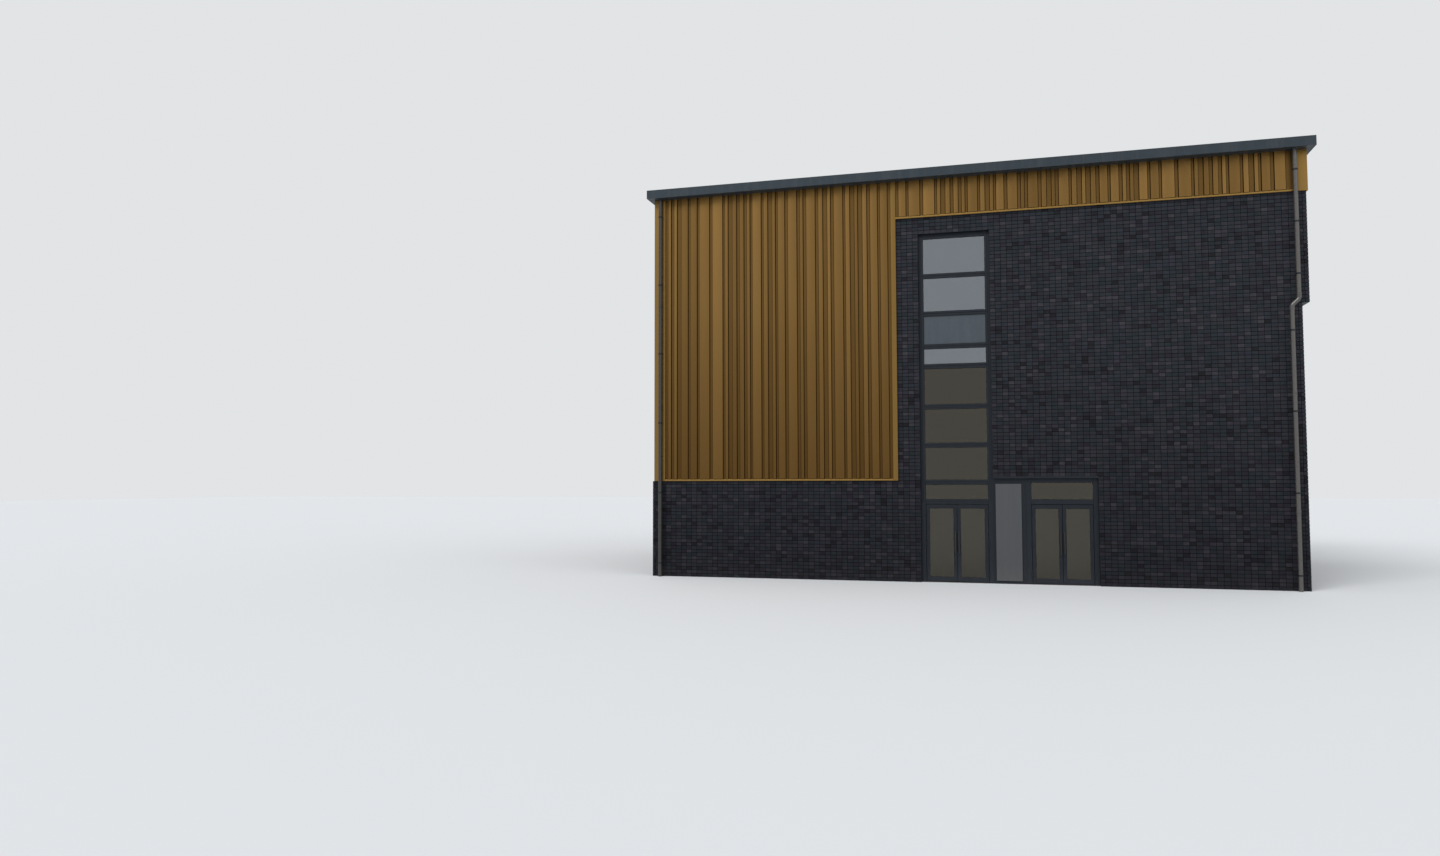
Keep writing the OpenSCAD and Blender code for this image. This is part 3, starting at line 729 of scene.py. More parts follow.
def lay_course(stocks, out, side, course, chance):
    """Lays the bricks of one course that show on a face, and gives each to its wall."""
    run = 1 - out
    levels = course * COURSE + JOINT / 2, (course + 1) * COURSE - JOINT / 2
    middle = sum(levels) / 2
    for start, end, plane in walls_showing(out, side, middle):
        corners = turns_corner(run, start, middle), turns_corner(run, end, middle)
        if (course + run) % 2:
            start += (BRICK_DEPTH + JOINT) * corners[0]
            end -= (BRICK_DEPTH + JOINT) * corners[1]
        cuts = [start, *upright_joints(run, start, end), end]
        for a, b in zip(cuts, cuts[1:]):
            tone = min(1.0, max(0.0, chance.gauss(MIDDLE_TONE, TONE_SPREAD)))
            whole = a == start or b == end
            a = a if a == start else a + UPRIGHT_JOINT / 2
            b = b if b == end else b - UPRIGHT_JOINT / 2
            if hidden_by_cladding(out, side, b, middle):
                continue
            wall = owner_of(at(run, (a + b) / 2, plane - side * JOINT, middle))
            if wall:
                lay_brick(stocks[wall], run, side, plane, (a, b), levels, whole, tone)


def wall_core(stock, name, jamb):
    """Mortar behind the bricks, in leaves set back from every outer face, and the plastered inside."""
    low, high = (list(corner) for corner in WALL_BOXES[name])
    outer = [
        (axis, side) for axis, side in sorted(OUTER_PLANES)
        if is_at((high if side > 0 else low)[axis], OUTER_PLANES[axis, side])
    ]
    for axis, side in outer:
        leaf_low, leaf_high = list(low), list(high)
        if side < 0:
            leaf_high[axis] = low[axis] = leaf_low[axis] + LEAF
        else:
            leaf_low[axis] = high[axis] = leaf_high[axis] - LEAF
        for other_axis, other_side in outer:
            reach = leaf_high if other_side > 0 else leaf_low
            if is_at(reach[other_axis], OUTER_PLANES[other_axis, other_side]):
                reach[other_axis] -= other_side * JOINT_RECESS
        if axis == 1 and jamb == "right":
            leaf_high[0] -= JOINT_RECESS
        if axis == 1 and jamb == "left":
            leaf_low[0] += JOINT_RECESS
        if "over" in name:
            leaf_low[2] += JOINT / 2
        block(stock, leaf_low, leaf_high, 0, 1)
    block(stock, low, high, 0, 2)


def lintel(stock, node, rise):
    """A dark steel angle under the bricks over an opening."""
    low, high = WALL_BOXES[node]
    plane, inward = (low.y, 1) if low.y < 0 else (high.y, -1)
    near, far = plane + inward * ANGLE_SETBACK, plane + inward * LEAF
    block(stock, (low.x + NEAR, near, low.z), (high.x - NEAR, far, low.z + rise), FINE_EDGE, 3)


def make_walls():
    """Every wall as its own piece: bricks, mortar, plaster and the steel over its opening."""
    stocks = {name: Stock() for name in WALLS}
    chance = random.Random(BRICK_SEED)
    for (out, side), course in itertools.product(OUTER_PLANES, range(int(EAVES / COURSE))):
        lay_course(stocks, out, side, course, chance)
    for name, jamb in WALLS.items():
        wall_core(stocks[name], name, jamb)
    for name in ("front_wall_over_strip", "back_wall_over_window"):
        lintel(stocks[name], name, JOINT / 2)
    doors = "front_wall_over_doors"
    head = WALL_BOXES[doors][0].z
    lintel(stocks[doors], doors, math.ceil(head / COURSE) * COURSE - head + JOINT / 2)
    inner = (RIGHT - BRICK_DEPTH / 2, FRONT + STEP_SETBACK, STEP + STEP_STEEL[0])
    outer = (UPPER_RIGHT - STEP_SETBACK, BACK - STEP_SETBACK, STEP + STEP_STEEL[1])
    block(stocks["right_wall_upper"], inner, outer, FINE_EDGE, 3)
    for name, stock in stocks.items():
        make(name + "_brickwork", stock, [BRICK, MORTAR, PLASTER, FRAME], name)


make_walls()

# Gold cladding

FOLD_RADIUS = 0.006
RIB_DRAFT = 0.008
CLAD_SHEET = 0.012
# Tones along the gold sheets: grooves, rib flanks and the crease strips beside them are darkened as painted
# shade; crests vary at random
GROOVE_PAINTED_SHADE_TONE = 0.52
CREASE_PAINTED_SHADE_TONE = 0.04
CREASE_PAINTED_SHADE_WIDTH = 0.009
CREST_TONE = 0.8
CREST_SPREAD = 0.12
DULLEST_CREST = 0.55
TRIM_FOLD = 0.004
TRIM_TONE = 0.6
ANGLE_TONE = 0.7
RIVET_SPACING = 0.6
RIVET_TONE = 0.8
RIVET_FROM_MIDDLE = 0.02
RIVET_SHARE = 0.12
LEDGE_FOLD = 0.003
LEDGE_SLOPE = 0.7
FIRST_CLADDING_SEED = 21

# Bend of the upright edge trim, as its width and its depth
TRIM_BEND = (0.03, 0.004)

# Lip of a ledge trim, as its depth at the top and at the bottom, and its height
LEDGE_LIP = (0.016, 0.014, 0.008)

# Edges of the cladding and of its trims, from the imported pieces
TRIM_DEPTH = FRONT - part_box("front_cladding_trim")[0].y
CORNER_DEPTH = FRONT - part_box("corner_trims")[0].y
BASE_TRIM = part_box("front_cladding")[0].z - PANEL_BOTTOM
EDGE_TRIM_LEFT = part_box("front_cladding")[1].x
CORNER_LEFT, CORNER_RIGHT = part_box("corner_trims")[0].x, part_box("corner_trims")[1].x
PANEL_LEFT, BAND_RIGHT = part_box("front_cladding")[0].x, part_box("front_band")[1].x
UPPER_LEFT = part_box("left_wall_upper")[0].x
CORNER_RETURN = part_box("corner_trims")[1].y


def crests_of(node, run, side):
    """Starts and ends of the ribs' crests along a face, from the outermost points of the CAD piece."""
    spots = corners_of(node)
    reach = spots[:, 1 - run] * side
    return spans_of(spots[reach > reach.max() - NEAR, run])


def folded_rib(start, end, sheet, crest):
    """One rib's outline: rounded folds out of the sheet, and at both edges of the crest."""
    line = [
        (start - RIB_DRAFT * 4, sheet), (start - RIB_DRAFT, sheet), (start, crest), (end, crest),
        (end + RIB_DRAFT, sheet), (end + RIB_DRAFT * 4, sheet),
    ]
    trios = zip(line, line[1:], line[2:])
    return [point for trio in trios for point in rounded_corner(*trio, FOLD_RADIUS)]


def ribbed_cladding(node, run, side, seed):
    """Folded sheets whose ribs and grooves stand where the CAD piece has them, with painted shade in the
    grooves and creases.
    """
    low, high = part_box(node)
    chance = random.Random(seed)
    back, front = (low[1 - run], high[1 - run])[::side]
    sheet = back + side * CLAD_SHEET
    outline = [(low[run], back), (low[run], sheet)]
    tones = [GROOVE_PAINTED_SHADE_TONE, GROOVE_PAINTED_SHADE_TONE]
    for start, end in crests_of(node, run, side):
        crest = min(1.0, max(DULLEST_CREST, chance.gauss(CREST_TONE, CREST_SPREAD)))
        # Flanks, foot folds and crease strips take the near-black painted shade tone, grooves a milder
        # painted shade
        foot, far_foot = start - RIB_DRAFT - CREASE_PAINTED_SHADE_WIDTH, end + RIB_DRAFT + CREASE_PAINTED_SHADE_WIDTH
        outline += [(foot, sheet), *folded_rib(start, end, sheet, front), (far_foot, sheet)]
        tones += [CREASE_PAINTED_SHADE_TONE] * 4 + [crest] * 5 + [CREASE_PAINTED_SHADE_TONE] * 4 + [GROOVE_PAINTED_SHADE_TONE]
    outline += [(high[run], sheet), (high[run], back)]
    tones += [GROOVE_PAINTED_SHADE_TONE] * 4
    stock = Stock()
    extrude(stock, outline, lambda a, b, end: at(run, a, b, (low.z, high.z)[end]), 0, tones)
    make(node + "_sheets", stock, [GOLD], node, crease=50)


def rivet_row(stock, x, y, bottom):
    """Small dome rivets in a straight row on a face that looks forward, up to the eaves."""
    count = max(1, round((EAVES - bottom) / RIVET_SPACING))
    for i in range(count):
        level = bottom + (EAVES - bottom) * (i + 0.5) / count
        collar(stock, (x, y, level), FORWARD, RIVET, 0, RIVET_TONE)


def ledge_trim(stock, start, end, bottom):
    """A drip trim under cladding: a lip at the front, a sloped top and a thin edge below."""
    face, top = FRONT - TRIM_DEPTH, bottom + BASE_TRIM
    lip, drip, rise = LEDGE_LIP
    outline = softened([
        (FRONT, bottom + rise), (face + lip, bottom + rise), (face + drip, bottom), (face, bottom),
        (face, bottom + BASE_TRIM * LEDGE_SLOPE), (FRONT - CLAD_SHEET, top), (FRONT, top),
    ], LEDGE_FOLD)
    # The whole trim takes the full tone 1.0, the lightest gold: partly the trim's lighter gold, partly a
    # painted highlight of its lit top
    extrude(stock, outline, lambda y, z, side: ((start, end)[side], y, z), 0, 1.0)


def make_cladding():
    """The ribbed sheets, the trims at their edges and the flat angles at the corners."""
    faces = (
        ("front_cladding", 0, -1), ("front_band", 0, -1), ("left_cladding", 1, -1), ("right_band", 1, 1),
        ("back_band", 0, 1),
    )
    for seed, (node, run, side) in enumerate(faces, FIRST_CLADDING_SEED):
        ribbed_cladding(node, run, side, seed)
    trim = Stock()
    face = FRONT - TRIM_DEPTH
    across, back = TRIM_BEND
    edge = [
        (EDGE_TRIM_LEFT, FRONT), (EDGE_TRIM_LEFT, face + back), (EDGE_TRIM_LEFT + across, face),
        (PANEL_RIGHT, face), (PANEL_RIGHT, FRONT),
    ]
    stand_up(trim, softened(edge, TRIM_FOLD), PANEL_BOTTOM, EAVES, TRIM_TONE)
    ledge_trim(trim, PANEL_LEFT, EDGE_TRIM_LEFT, PANEL_BOTTOM)
    ledge_trim(trim, PANEL_RIGHT, BAND_RIGHT, BAND_BOTTOM)
    rivet_row(trim, (EDGE_TRIM_LEFT + PANEL_RIGHT) / 2 + RIVET_FROM_MIDDLE, face, PANEL_BOTTOM)
    make("cladding_trims", trim, [GOLD_EDGE], "front_cladding_trim")
    corners = Stock()
    proud = FRONT - CORNER_DEPTH
    for outer, flat_end, inner, bottom in (
        (CORNER_LEFT, PANEL_LEFT, UPPER_LEFT, PANEL_BOTTOM),
        (CORNER_RIGHT, BAND_RIGHT, UPPER_RIGHT, BAND_BOTTOM),
    ):
        outline = [
            (outer, proud), (flat_end, proud), (flat_end, FRONT), (inner, FRONT),
            (inner, CORNER_RETURN), (outer, CORNER_RETURN),
        ]
        stand_up(corners, softened(outline, TRIM_FOLD), bottom, EAVES, ANGLE_TONE)
        rivet_row(corners, flat_end + (outer - flat_end) * RIVET_SHARE, proud, bottom)
    make("cladding_corner_angles", corners, [GOLD_EDGE], "corner_trims")


make_cladding()

# Roof

FASCIA_LOW, FASCIA_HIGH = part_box("front_fascia")
ROOF_TOP = FASCIA_HIGH.z
FASCIA_DEPTH = 0.04
LIP = 0.018
FACE_SETBACK = 0.004
STRAP = 0.08
STRAP_SPACING = 3.0
STRAP_EDGE = 0.0008
STRAP_TONE = 0.65
CORNER_FOLD = 0.003
CORNER_TONE = 0.55
SOFFIT_BOARD = 2.4
SOFFIT_GAP = 0.006
SOFFIT_EDGE = 0.0015
SOFFIT_TONES = (0.25, 0.35, 0.45)
ROOF_SHEET = 1.1
LAP = 0.09
LAP_RISE = 0.003
LAP_INSET = 0.15
EDGE_STRIP = 0.16
EDGE_STRIP_RISE = 0.004


def fascia_run(stock, start, end, outer, run, side):
    """A pressed capping along one side, with a lip at its foot and at its top, and joint straps."""
    inner, set_back = outer - side * FASCIA_DEPTH, outer - side * FACE_SETBACK
    foot, head = EAVES + LIP + FACE_SETBACK, ROOF_TOP - LIP - FACE_SETBACK
    outline = [
        (outer, EAVES), (outer, EAVES + LIP), (set_back, foot), (set_back, head),
        (outer, ROOF_TOP - LIP), (outer, ROOF_TOP), (inner, ROOF_TOP), (inner, EAVES),
    ]
    extrude(stock, outline, lambda across, z, last: at(run, (start, end)[last], across, z))
    count = round((end - start) / STRAP_SPACING)
    for i in range(1, count):
        place = start + (end - start) * i / count
        low = at(run, place - STRAP / 2, outer - side * NEAR, foot)
        high = at(run, place + STRAP / 2, set_back - side * NEAR, head)
        block(stock, low, high, STRAP_EDGE, 0, STRAP_TONE)


def fascia_corner(stock, x, y, across, along):
    """The folded piece round a corner of the roof, with both its arms."""
    inner_x, inner_y = x + across * FASCIA_DEPTH, y + along * FASCIA_DEPTH
    end_x, end_y = x + across * STRAP, y + along * STRAP
    outline = [(x, y), (end_x, y), (end_x, inner_y), (inner_x, inner_y), (inner_x, end_y), (x, end_y)]
    stand_up(stock, softened(outline, CORNER_FOLD), EAVES, ROOF_TOP, CORNER_TONE)


def soffit_run(stock, start, end, near, far, run):
    """Soffit boards along one side, with a fine gap between them."""
    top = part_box("roof_deck")[0].z
    count = math.ceil((end - start) / SOFFIT_BOARD)
    for i in range(count):
        a, b = (start + (end - start) * k / count for k in (i, i + 1))
        low, high = at(run, a + SOFFIT_GAP / 2, near, EAVES), at(run, b - SOFFIT_GAP / 2, far, top)
        block(stock, low, high, SOFFIT_EDGE, 0, SOFFIT_TONES[i % 3])


def make_roof_edge():
    """Fascia cappings and soffits on four sides."""
    left, right = FASCIA_LOW.x, FASCIA_HIGH.x
    front, back = FASCIA_LOW.y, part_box("back_fascia")[1].y
    for name, run, side, outer, wall in (
        ("front_fascia", 0, -1, front, FRONT), ("back_fascia", 0, 1, back, BACK),
        ("left_fascia", 1, -1, left, UPPER_LEFT), ("right_fascia", 1, 1, right, UPPER_RIGHT),
    ):
        stock = Stock()
        low, high = ((left, right), (front, back))[run]
        fascia_run(stock, low + STRAP, high - STRAP, outer, run, side)
        boards = ((left + FASCIA_DEPTH, right - FASCIA_DEPTH), (FRONT, BACK))[run]
        soffit_run(stock, *boards, outer - side * FASCIA_DEPTH, wall, run)
        if run == 0:
            fascia_corner(stock, left, outer, 1, -side)
            fascia_corner(stock, right, outer, -1, -side)
        make(name + "_capping", stock, [FASCIA], name)


def make_roof_sheets():
    """The welded sheets of the covering, with their laps and a strip along each edge."""
    low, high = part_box("roof_covering")
    cover = Stock()
    block(cover, low, (high.x, high.y, high.z - LAP_RISE), 0)
    under = high.z - LAP_RISE - NEAR
    sheets = round((high.x - low.x) / ROOF_SHEET)
    for i in range(1, sheets):
        seam = low.x + (high.x - low.x) * i / sheets
        block(cover, (seam, low.y + LAP_INSET, under), (seam + LAP, high.y - LAP_INSET, high.z), FINE_EDGE)
    inner_low, inner_high = low.y + EDGE_STRIP, high.y - EDGE_STRIP
    for corner, opposite in (
        ((low.x, low.y), (high.x, inner_low)), ((low.x, inner_high), (high.x, high.y)),
        ((low.x, inner_low), (low.x + EDGE_STRIP, inner_high)),
        ((high.x - EDGE_STRIP, inner_low), (high.x, inner_high)),
    ):
        block(cover, (*corner, under), (*opposite, high.z + EDGE_STRIP_RISE), FINE_EDGE)
    make("roof_sheets", cover, [FELT], "roof_covering")


make_roof_edge()
make_roof_sheets()

# Windows

RING = 0.06
CORE_TONE = 0.35
SILL_TONE = 0.4
GASKET = 0.007
SHEET_GLASS = 0.006
SPACER = 0.012
GLASS_SLACK = 0.0005
STRIP_BAR = 0.13
STRIP_LOW, STRIP_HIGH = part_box("back_window_frame")
GLASS_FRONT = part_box("front_glazing")[0].y
GLASS_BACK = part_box("front_glazing")[1].y
DOOR_HEAD = 2.15
DOOR_LEFT, DOOR_RIGHT = STRIP_LOW.x + STRIP_BAR, STRIP_HIGH.x - STRIP_BAR

# How far the coupling bars stand back from the frame's front and from its back
CORE_SETBACK = (0.012, 0.004)

# Finishes of a strip window's glass, and their numbers for the upper panes from the lowest up
PANE_FINISHES = [SKY_REFLECTION_PANE, TREE_REFLECTION_PANE, SPANDREL, STEEL]
LOWER_NUMBER = 1
UPPER_NUMBERS = [0, 2, 0, 0]
FRAME_FINISHES = [FRAME, RUBBER, STEEL]


def pane_spans(node):
    """Bottoms and tops of a strip window's panes in a CAD piece, from the ground up."""
    spots = corners_of(node)
    chosen = spots[(spots[:, 0] > DOOR_LEFT - NEAR) & (spots[:, 0] < DOOR_RIGHT + NEAR)]
    return spans_of(chosen[:, 2])


def fanlight():
    """Lowest and highest corner of the pane over the second door."""
    spots = corners_of("front_glazing")
    chosen = spots[spots[:, 0] > STRIP_HIGH.x]
    return Vector(chosen.min(0)), Vector(chosen.max(0))


FAN_LOW, FAN_HIGH = fanlight()


def gaskets(stock, low, high):
    """A black gasket round a pane, on both of its sides."""
    for near, far in ((GLASS_FRONT - GASKET, GLASS_FRONT), (GLASS_BACK, GLASS_BACK + GASKET)):
        ring(stock, low, high, GASKET, near, far, SMALL_EDGE, 1)


def double_pane(stock, low, high, near, far, finish=0, spacer=1):
    """Two sheets of glass with a metal spacer round their edge, between (x, z) corners."""
    (left, bottom), (right, top) = low, high
    left, bottom = left + GLASS_SLACK, bottom + GLASS_SLACK
    right, top = right - GLASS_SLACK, top - GLASS_SLACK
    for sheet in (near, far - SHEET_GLASS):
        block(stock, (left, sheet, bottom), (right, sheet + SHEET_GLASS, top), 0, finish)
    inner = near + SHEET_GLASS, far - SHEET_GLASS
    ring(stock, (left, bottom), (right, top), SPACER, *inner, FINE_EDGE, spacer)


def strip_frame(stock, panes):
    """A tall window: bars round each pane, and set-back bars that couple them to each other."""
    left, right, head = STRIP_LOW.x, STRIP_HIGH.x, STRIP_HIGH.z
    set_back, back = FRAME_FRONT + CORE_SETBACK[0], FRAME_BACK - CORE_SETBACK[1]
    first = panes[0][0] - RING
    for a, b in ((left, DOOR_LEFT - RING + NEAR), (DOOR_RIGHT + RING - NEAR, right)):
        block(stock, (a, set_back, first), (b, back, head), tone=CORE_TONE)
    tops = [top + RING for _, top in panes]
    bottoms = [bottom - RING for bottom, _ in panes[1:]] + [head]
    for below, above in zip(tops, bottoms):
        low, high = (left + RING, set_back, below - NEAR), (right - RING, back, above + NEAR)
        block(stock, low, high, tone=CORE_TONE)
    for bottom, top in panes:
        low, high = (DOOR_LEFT - RING, bottom - RING), (DOOR_RIGHT + RING, top + RING)
        ring(stock, low, high, RING, FRAME_FRONT, FRAME_BACK, BAR_EDGE)
        gaskets(stock, (DOOR_LEFT, bottom), (DOOR_RIGHT, top))


def strip_glass(panes):
    """The double panes and the spandrel pane of a strip window."""
    glass = Stock()
    numbers = [LOWER_NUMBER] * (len(panes) - len(UPPER_NUMBERS)) + UPPER_NUMBERS
    for number, (bottom, top) in zip(numbers, panes):
        double_pane(glass, (DOOR_LEFT, bottom), (DOOR_RIGHT, top), GLASS_FRONT, GLASS_BACK, number, 3)
    return glass


def turned_to_back(stock):
    """Turns a stock that was cut for the front strip so that it stands in the back one."""
    across = STRIP_LOW.x + STRIP_HIGH.x
    stock.points = [(across - x, -y, z) for x, y, z in stock.points]
    return stock


# Hinges

PIN_FORWARD = 0.014
KNUCKLE_RADIUS = 0.01
KNUCKLE = 0.06
KNUCKLE_GAP = 0.0003
STRAP_WIDTH = 0.04
STRAP_THICKNESS = 0.012
SCREW_PLACE = 0.028
SCREW_DROP = 0.018
SCREW_TONE = 0.7
HINGE_TONE = 0.6
LEAF_GAP = 0.01
HINGE_LEVELS = (0.25, DOOR_HEAD / 2, DOOR_HEAD - 0.25)
PIN_Y = FRAME_FRONT - PIN_FORWARD


def knuckle(stock, pin_x, middle, way, plate, tone):
    """One knuckle of a hinge, with its screwed strap on a plate to one side of the pin."""
    collar(stock, (pin_x, PIN_Y, middle), UP, (KNUCKLE_RADIUS, KNUCKLE, FINE_EDGE, 24), 0, HINGE_TONE)
    bottom, top, face = middle - KNUCKLE / 2, middle + KNUCKLE / 2, plate - STRAP_THICKNESS
    block(stock, (pin_x, face, bottom), (pin_x + way * STRAP_WIDTH, plate, top), SMALL_EDGE, 0, tone)
    for drop in (-SCREW_DROP, SCREW_DROP):
        spot = (pin_x + way * SCREW_PLACE, face, middle + drop)
        collar(stock, spot, FORWARD, SCREW, 0, SCREW_TONE)


def jamb_knuckles(stock, left, right):
    """The frame's two knuckles of each hinge on both jambs of a double door, under a cap."""
    for pin_x, way in ((left + LEAF_GAP / 2, -1), (right - LEAF_GAP / 2, 1)):
        for level in HINGE_LEVELS:
            for side in (-1, 1):
                middle = level + side * (KNUCKLE + KNUCKLE_GAP)
                knuckle(stock, pin_x, middle, way, FRAME_FRONT, HINGE_TONE)
            cap = level + KNUCKLE * 1.5 + KNUCKLE_GAP
            collar(stock, (pin_x, PIN_Y, cap), UP, HINGE_CAP, 0, SCREW_TONE)


def frame_bar(stock, left, right, bottom, top, finish=0, tone=0.5):
    """One bar of a frame, as deep as the frame."""
    block(stock, (left, FRAME_FRONT, bottom), (right, FRAME_BACK, top), BAR_EDGE, finish, tone)


def door_frame(stock, left, right, post_top, transom_top):
    """The posts, transom, steel threshold and hinge halves round a double door."""
    frame_bar(stock, left - STRIP_BAR, left, 0, post_top)
    frame_bar(stock, right, right + STRIP_BAR, 0, post_top)
    frame_bar(stock, left, right, DOOR_HEAD, transom_top)
    frame_bar(stock, left, right, 0, THRESHOLD, 2, SILL_TONE)
    jamb_knuckles(stock, left, right)


def make_windows():
    """The strip windows of both sides: frames, double panes and spandrel panes."""
    panes = pane_spans("front_glazing")
    first = panes[0][0] - RING
    front = Stock()
    strip_frame(front, panes)
    door_frame(front, DOOR_LEFT, DOOR_RIGHT, first, first)
    make("strip_window_bars", front, FRAME_FINISHES, "strip_window_frame")
    glass = strip_glass(panes)
    low, high = (FAN_LOW.x, FAN_LOW.z), (FAN_HIGH.x, FAN_HIGH.z)
    double_pane(glass, low, high, GLASS_FRONT, GLASS_BACK, LOWER_NUMBER, 3)
    make("front_panes", glass, PANE_FINISHES, "front_glazing")
    panes = pane_spans("back_glazing")
    back = Stock()
    strip_frame(back, panes)
    frame_bar(back, STRIP_LOW.x, STRIP_HIGH.x, 0, panes[0][0] - RING)
    make("back_window_bars", turned_to_back(back), [FRAME, RUBBER], "back_window_frame")
    make("back_panes", turned_to_back(strip_glass(panes)), PANE_FINISHES, "back_glazing")


make_windows()

# Doors

STILE = 0.085
TOP_RAIL = 0.105
KICK_RAIL = 0.12
BEAD = 0.009
BEAD_SETBACK = 0.004
LEAF_THICKNESS = 0.05
LEAF_BOTTOM = THRESHOLD + LEAF_GAP
HANDLE_RADIUS = 0.015
HANDLE_LENGTH = 0.6
HANDLE_REACH = 0.065
HANDLE_LEVEL = 1.1
HANDLE_POST = 0.008
LOCK_LEVEL = 0.68
LOCK_FORWARD = 0.002
RAIL_TONE = 0.6

# Distance from a handle's end, and the share of its radius there
HANDLE_DOME = [(0, 0.55), (0.002, 0.8), (0.006, 0.97), (0.01, 1.0)]


def pull_handle(stock, x, face, finish):
    """An upright bar with domed ends on two posts with round roses."""
    axis_y, half = face - HANDLE_REACH, HANDLE_LENGTH / 2
    ends = [(HANDLE_LEVEL - half + d, r) for d, r in HANDLE_DOME]
    ends += [(HANDLE_LEVEL + half - d, r) for d, r in HANDLE_DOME[::-1]]
    tube(stock, [(x, axis_y, z) for z, _ in ends], [HANDLE_RADIUS * r for _, r in ends], 24, finish)
    for side in (-1, 1):
        level = HANDLE_LEVEL + side * (half - HANDLE_RADIUS * 4)
        tube(stock, [(x, axis_y, level), (x, face, level)], HANDLE_POST, 16, finish)
        collar(stock, (x, face - HANDLE_ROSE[1] / 2, level), FORWARD, HANDLE_ROSE, finish)


def leaf(name, pin_side):
    """One glazed leaf: stiles, rails, beads, gaskets, hinge halves and a pull handle."""
    low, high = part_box(name + "_glass")
    middle = (low.y + high.y) / 2
    near, far = middle - LEAF_THICKNESS / 2, middle + LEAF_THICKNESS / 2
    left, right, top = low.x - STILE, high.x + STILE, high.z + TOP_RAIL
    corners = (low.x, low.z), (high.x, high.z)
    stock = Stock()
    for a, b in ((left, low.x), (high.x, right)):
        block(stock, (a, near, LEAF_BOTTOM), (b, far, top))
    block(stock, (low.x, near, high.z), (high.x, far, top))
    rail = min(low.z, LEAF_BOTTOM + KICK_RAIL)
    block(stock, (low.x, near, LEAF_BOTTOM), (high.x, far, rail))
    if low.z > rail + NEAR:
        block(stock, (low.x, near, rail), (high.x, far, low.z), tone=RAIL_TONE)
    for bead_near, bead_far in ((near + BEAD_SETBACK, low.y), (high.y, far - BEAD_SETBACK)):
        ring(stock, *corners, BEAD, bead_near, bead_far, SMALL_EDGE, 1)
    pin_x, handle_x = left - LEAF_GAP / 2, right - STILE / 2
    if pin_side > 0:
        pin_x, handle_x = right + LEAF_GAP / 2, left + STILE / 2
    for level in HINGE_LEVELS:
        knuckle(stock, pin_x, level, -pin_side, near, 0.5)
        bottom, top_of_knuckle = level - KNUCKLE / 2, level + KNUCKLE / 2
        inner_x = pin_x - pin_side * KNUCKLE_RADIUS
        block(stock, (pin_x, PIN_Y, bottom), (inner_x, FRAME_FRONT, top_of_knuckle), FINE_EDGE)
    pull_handle(stock, handle_x, near, 2)
    collar(stock, (handle_x, near - LOCK_FORWARD, LOCK_LEVEL), FORWARD, LOCK, 2)
    make(name + "_joinery", stock, FRAME_FINISHES, name + "_leaf", name)
    glass = Stock()
    double_pane(glass, *corners, low.y, high.y)
    make(name + "_pane", glass, [TREE_REFLECTION_PANE, STEEL], name + "_glass", name)


def make_doors():
    """The second door's frame with its fanlight bars, and the four leaves."""
    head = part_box("door_2_frame")[1].z
    stock = Stock()
    door_frame(stock, FAN_LOW.x, FAN_HIGH.x, head, FAN_LOW.z)
    frame_bar(stock, FAN_LOW.x, FAN_HIGH.x, FAN_HIGH.z, head)
    gaskets(stock, (FAN_LOW.x, FAN_LOW.z), (FAN_HIGH.x, FAN_HIGH.z))
    make("door_2_bars", stock, FRAME_FINISHES, "door_2_frame")
    for door in ("door_1", "door_2"):
        leaf(door + "_left", -1)
        leaf(door + "_right", 1)


make_doors()

# Grey panel and floors

TRAY_FOLD = 0.005


def make_grey_panel():
    """A flat pressed tray with turned edges."""
    low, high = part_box("grey_panel")
    stock = Stock()
    outline = [(low.x, high.y), (low.x, low.y), (high.x, low.y), (high.x, high.y)]
    stand_up(stock, softened(outline, TRAY_FOLD, 3), low.z, high.z)
    make("grey_panel_tray", stock, [SLATE_PANEL], "grey_panel")


make_grey_panel()
dress(CONCRETE, "ground_floor", "first_floor", "second_floor")
dress(DECK, "roof_deck")
dress(SPANDREL, "spandrel_panels")
dress(FRAME, "panel_backing")

# Downpipes

PIPE_RADIUS = 0.055
COLLAR_RADIUS = 0.065
COLLAR_HEIGHT = 0.06
BRACKET_WIDTH = 0.04
BRACKET_ARM = 0.006
BRACKET_EDGE = 0.003
LOWEST_BRACKET = 0.4
TOP_BRACKET = EAVES - 0.53
STEP_BRACKET = 0.72
# The same pipe finish in two tones: the left pipe darker as painted shade, the right one lighter as painted
# light
LEFT_PIPE_PAINTED_SHADE_TONE = 0.32
RIGHT_PIPE_PAINTED_LIGHT_TONE = 0.88
SOCKET_LEVELS = (1.9, 4.9, 7.9)
SOCKET_UNDER_BEND = 0.1
SOCKET_OVER_BEND = 0.02

# A bolt lug's width, half its depth and half its height
LUG = (0.012, 0.01, 0.018)

# Rise and growth of a socket, from its foot up
SOCKET_STEPS = [(0, 0.0), (0.004, 0.004), (0.09, 0.004), (0.1, 0.008), (0.115, 0.008), (0.12, 0.004)]
BEND_STEPS = 16


def pipe_bracket(stock, x, y, level, back):
    """A two-part clip round the pipe with its bolt lugs, on an arm from the wall."""
    collar(stock, (x, y, level), UP, (COLLAR_RADIUS, BRACKET_WIDTH, BRACKET_EDGE, 32), 1)
    bottom, top = level - COLLAR_HEIGHT / 2, level + COLLAR_HEIGHT / 2
    for half, near in ((BRACKET_ARM, y + PIPE_RADIUS), (BRACKET_WIDTH / 2, back - BRACKET_ARM)):
        block(stock, (x - half, near, bottom), (x + half, back, top), SMALL_EDGE, 1)
    for side in (-1, 1):
        lug = x + side * COLLAR_RADIUS
        low, high = (lug - side * LUG[0], y - LUG[1], level - LUG[2]), (lug, y + LUG[1], level + LUG[2])
        block(stock, low, high, SMALL_EDGE, 1)


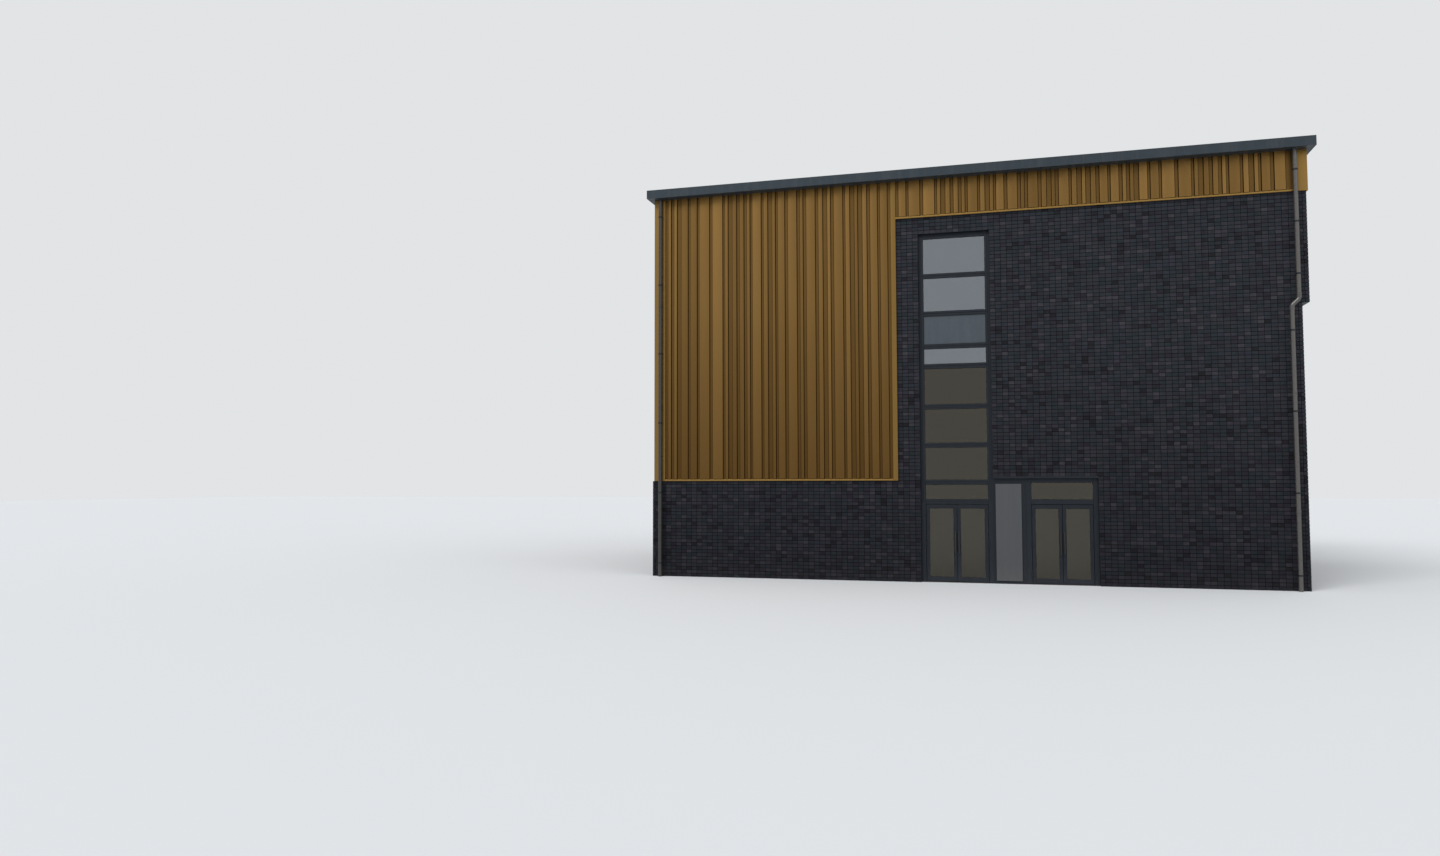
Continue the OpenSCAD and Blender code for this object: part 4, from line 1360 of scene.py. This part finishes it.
def pipe_brackets(stock, x, y, lowest, highest, count, clad_from):
    """Clips at even spaces, which reach the bricks or, higher up, the cladding's trim."""
    for i in range(count):
        level = round(lowest + (highest - lowest) * i / (count - 1), 3)
        pipe_bracket(stock, x, y, level, FRONT if level < clad_from else FRONT - CORNER_DEPTH)


def pipe_socket(stock, x, y, level, tone):
    """The wider end of a length of pipe that takes the next one."""
    path = [(x, y, level + rise) for rise, _ in SOCKET_STEPS]
    tube(stock, path, [PIPE_RADIUS + grow for _, grow in SOCKET_STEPS], 32, 0, tone)


def make_pipes():
    """Two round downpipes with sockets and clips; the right one follows the step in the wall."""
    low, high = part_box("downpipe_left")
    x, y = (low.x + high.x) / 2, low.y + COLLAR_RADIUS
    left = Stock()
    tube(left, [(x, y, 0), (x, y, EAVES)], PIPE_RADIUS, 32, 0, LEFT_PIPE_PAINTED_SHADE_TONE)
    pipe_brackets(left, x, y, LOWEST_BRACKET, TOP_BRACKET, 6, PANEL_BOTTOM)
    for level in SOCKET_LEVELS:
        pipe_socket(left, x, y, level, LEFT_PIPE_PAINTED_SHADE_TONE)
    make("left_downpipe", left, [PIPE, FRAME], "downpipe_left")
    low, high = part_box("downpipe_right")
    low_x, high_x = low.x + COLLAR_RADIUS, high.x - COLLAR_RADIUS
    shift = high_x - low_x
    start, end = STEP - shift / 2 - COLLAR_HEIGHT / 2, STEP + shift / 2 + COLLAR_HEIGHT / 2
    bend = []
    for i in range(BEND_STEPS + 1):
        t = i / BEND_STEPS
        bend.append((low_x + shift * t * t * (3 - 2 * t), y, start + (end - start) * t))
    right = Stock()
    tube(right, [(low_x, y, 0), *bend, (high_x, y, EAVES)], PIPE_RADIUS, 32, 0, RIGHT_PIPE_PAINTED_LIGHT_TONE)
    pipe_socket(right, high_x, y, end - SOCKET_OVER_BEND, RIGHT_PIPE_PAINTED_LIGHT_TONE)
    for level in (start - SOCKET_UNDER_BEND, *SOCKET_LEVELS[:2]):
        pipe_socket(right, low_x, y, level, RIGHT_PIPE_PAINTED_LIGHT_TONE)
    pipe_brackets(right, low_x, y, LOWEST_BRACKET, STEP - STEP_BRACKET, 4, BAND_BOTTOM)
    pipe_brackets(right, high_x, y, STEP + STEP_BRACKET, TOP_BRACKET, 3, BAND_BOTTOM)
    make("right_downpipe", right, [PIPE, FRAME], "downpipe_right")


make_pipes()

# Studio

FLOOR_REACH = 160.0
PALE = linear(226, 228, 230)
SKY_LIGHT = linear(250, 252, 255)
SKY_STRENGTH = 0.62

# Each lamp's name, strength, and its spread, tilt and turn in degrees
LAMPS = (("key", 1.5, 30, 48, -28), ("fill", 0.5, 60, 60, 45))


def make_floor():
    """A pale floor that the building stands on."""
    mesh = bpy.data.meshes.new("studio_floor")
    corners = [(x * FLOOR_REACH, y * FLOOR_REACH, 0) for x, y in ((-1, -1), (1, -1), (1, 1), (-1, 1))]
    mesh.from_pydata(corners, [], [[0, 1, 2, 3]])
    floor = bpy.data.objects.new("studio_floor", mesh)
    mesh.materials.append(new_finish("studio_floor", {"Base Color": PALE, "Roughness": 0.95})[0])
    bpy.context.scene.collection.objects.link(floor)


def make_world():
    """A pale world that glass and metal also show, with softer light of its own."""
    world = bpy.data.worlds.new("studio")
    bpy.context.scene.world = world
    world.use_nodes = True
    tree = world.node_tree
    tree.nodes.clear()
    rays = put(tree, "ShaderNodeLightPath").outputs
    seen = reckon(tree, "MAXIMUM", rays["Is Camera Ray"], rays["Is Glossy Ray"])
    seen = reckon(tree, "MAXIMUM", seen, rays["Is Transmission Ray"])
    shown = put(tree, "ShaderNodeBackground", {"Color": PALE, "Strength": 1.0}).outputs[0]
    light = put(tree, "ShaderNodeBackground", {"Color": SKY_LIGHT, "Strength": SKY_STRENGTH}).outputs[0]
    both = put(tree, "ShaderNodeMixShader", {0: seen, 1: light, 2: shown}).outputs[0]
    put(tree, "ShaderNodeOutputWorld", {"Surface": both})


def make_lamps():
    """Soft light from the front."""
    for name, strength, spread, tilt, turn in LAMPS:
        lamp = bpy.data.lights.new(name, "SUN")
        lamp.energy = strength
        lamp.angle = math.radians(spread)
        stand = bpy.data.objects.new(name, lamp)
        stand.rotation_euler = (math.radians(tilt), 0, math.radians(turn))
        bpy.context.scene.collection.objects.link(stand)


bpy.context.scene.view_settings.view_transform = "Standard"
make_floor()
make_world()
make_lamps()
